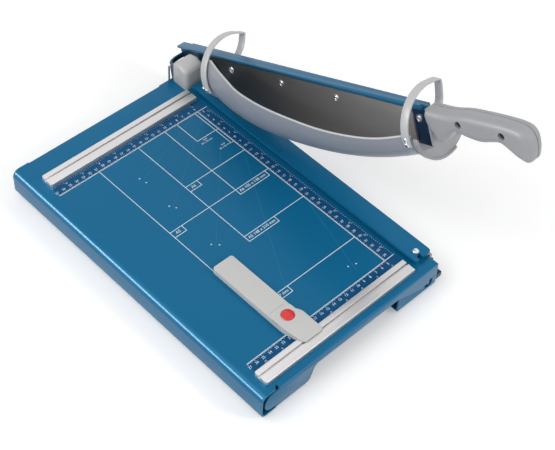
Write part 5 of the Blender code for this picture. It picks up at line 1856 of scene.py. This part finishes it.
def seen_rays(tree: NodeTree) -> NodeSocket:
    """Add nodes that tell rays in which a background shows, as 1, from the rest.

    Args:
        tree: Node tree that they are added to.

    Returns:
        The output socket.
    """
    rays = placed(tree, "LightPath", {}).outputs
    found = rays["Is Camera Ray"]
    for name in ("Is Glossy Ray", "Is Transmission Ray"):
        found = placed(tree, "Math", {0: found, 1: rays[name]}, operation="MAXIMUM").outputs[0]
    return found


@dataclass
class Studio:
    """Floor, light and camera of the photograph."""

    eye: Place = (-858.53 * MM, -929.24 * MM, 1182.91 * MM)
    heading: float = math.radians(-46.82)
    dip: float = math.radians(48.885)
    roll: float = math.radians(4.068)
    focal_pixels: float = 1317.46
    sight: float = 50.0
    floor_size: float = 12.0
    floor_shade: float = 0.9
    floor_roughness: float = 0.9
    floor_lift: float = 0.27
    ambient: float = 0.58
    key_place: Place = (-1.6, 0.4, 2.4)
    key_size: float = 1.6
    key_power: float = 26.0
    fill_place: Place = (0.9, -1.9, 1.5)
    fill_size: float = 0.4
    fill_power: float = 10.0
    strip_place: Place = (-1.9, 1.0, 0.75)
    strip_length: float = 1.5
    strip_width: float = 0.25
    strip_power: float = 80.0

    def camera(self) -> None:
        """Put the camera at the photograph's viewing angle."""
        lens = bpy.data.cameras.new("camera")
        lens.sensor_width = SENSOR
        lens.lens = self.focal_pixels / PHOTO_WIDTH * SENSOR
        lens.clip_end = self.sight
        made = linked("camera", lens)
        ahead = Vector((-math.sin(self.heading) * math.cos(self.dip),
                        math.cos(self.heading) * math.cos(self.dip), -math.sin(self.dip)))
        right = Vector((math.cos(self.heading), math.sin(self.heading), 0))
        up = right.cross(ahead)
        side = right * math.cos(self.roll) + up * math.sin(self.roll)
        top = up * math.cos(self.roll) - right * math.sin(self.roll)
        turn = Matrix((side, top, -ahead)).transposed().to_4x4()
        made.matrix_world = Matrix.Translation(FRAMES.table @ Vector(self.eye)) @ turn
        bpy.context.scene.camera = made

    def floor(self) -> None:
        """Lay a pale floor that keeps the cutter's shadow."""
        shape = bmesh.new()
        bmesh.ops.create_grid(shape, x_segments=1, y_segments=1, size=self.floor_size / 2)
        made = held("floor", shape)
        look, shader = shader_material("floor_white")
        tree = look.node_tree
        lift = placed(tree, "Math", {0: seen_rays(tree), 1: self.floor_lift}, operation="MULTIPLY")
        feed(shader, {"Base Color": (*[self.floor_shade] * 3, 1), "Roughness": self.floor_roughness,
                      "Specular IOR Level": 0, "Emission Color": (1, 1, 1, 1),
                      "Emission Strength": lift.outputs[0]})
        made.data.materials.append(look)

    def world(self) -> None:
        """Light the scene softly, with a white background in view and in reflections."""
        world = bpy.data.worlds.new("studio")
        bpy.context.scene.world = world
        world.use_nodes = True
        tree = world.node_tree
        level = placed(tree, "Math", {0: seen_rays(tree), 1: 1 - self.ambient, 2: self.ambient},
                       operation="MULTIPLY_ADD")
        feed(tree.nodes["Background"], {"Color": (1, 1, 1, 1), "Strength": level.outputs[0]})

    def lamp(self, name: str, place: Place, length: float, width: float, power: float) -> Object:
        """Hang a soft box that faces the cutter.

        Args:
            name: Name of the lamp.
            place: Where it hangs.
            length: Its level side.
            width: Its other side.
            power: Its power in watts.

        Returns:
            The lamp.
        """
        light = bpy.data.lights.new(name, "AREA")
        light.shape = "RECTANGLE"
        light.size = length
        light.size_y = width
        light.energy = power
        made = linked(name, light)
        made.location = place
        made.rotation_euler = (-Vector(place)).to_track_quat("-Z", "Y").to_euler()
        return made

    def build(self) -> None:
        """Build the studio."""
        bpy.context.scene.view_settings.view_transform = "Standard"
        self.camera()
        self.floor()
        self.world()
        self.lamp("key_light", self.key_place, self.key_size, self.key_size, self.key_power)
        self.lamp("fill_light", self.fill_place, self.fill_size, self.fill_size, self.fill_power)
        strip = self.lamp("strip_light", self.strip_place, self.strip_length, self.strip_width,
                          self.strip_power)
        strip.visible_diffuse = False


def main() -> None:
    """Build the studio and every sub-assembly."""
    logging.basicConfig(level=logging.INFO, format="%(message)s")
    Studio().build()
    dress_nodes()
    for assembly in (Table(), TablePrint(), Rails(), PivotCover(), BackGauge(), BladeArm(), BladeGuard(),
                     Handle()):
        assembly.build()


if __name__ == "__main__":
    main()
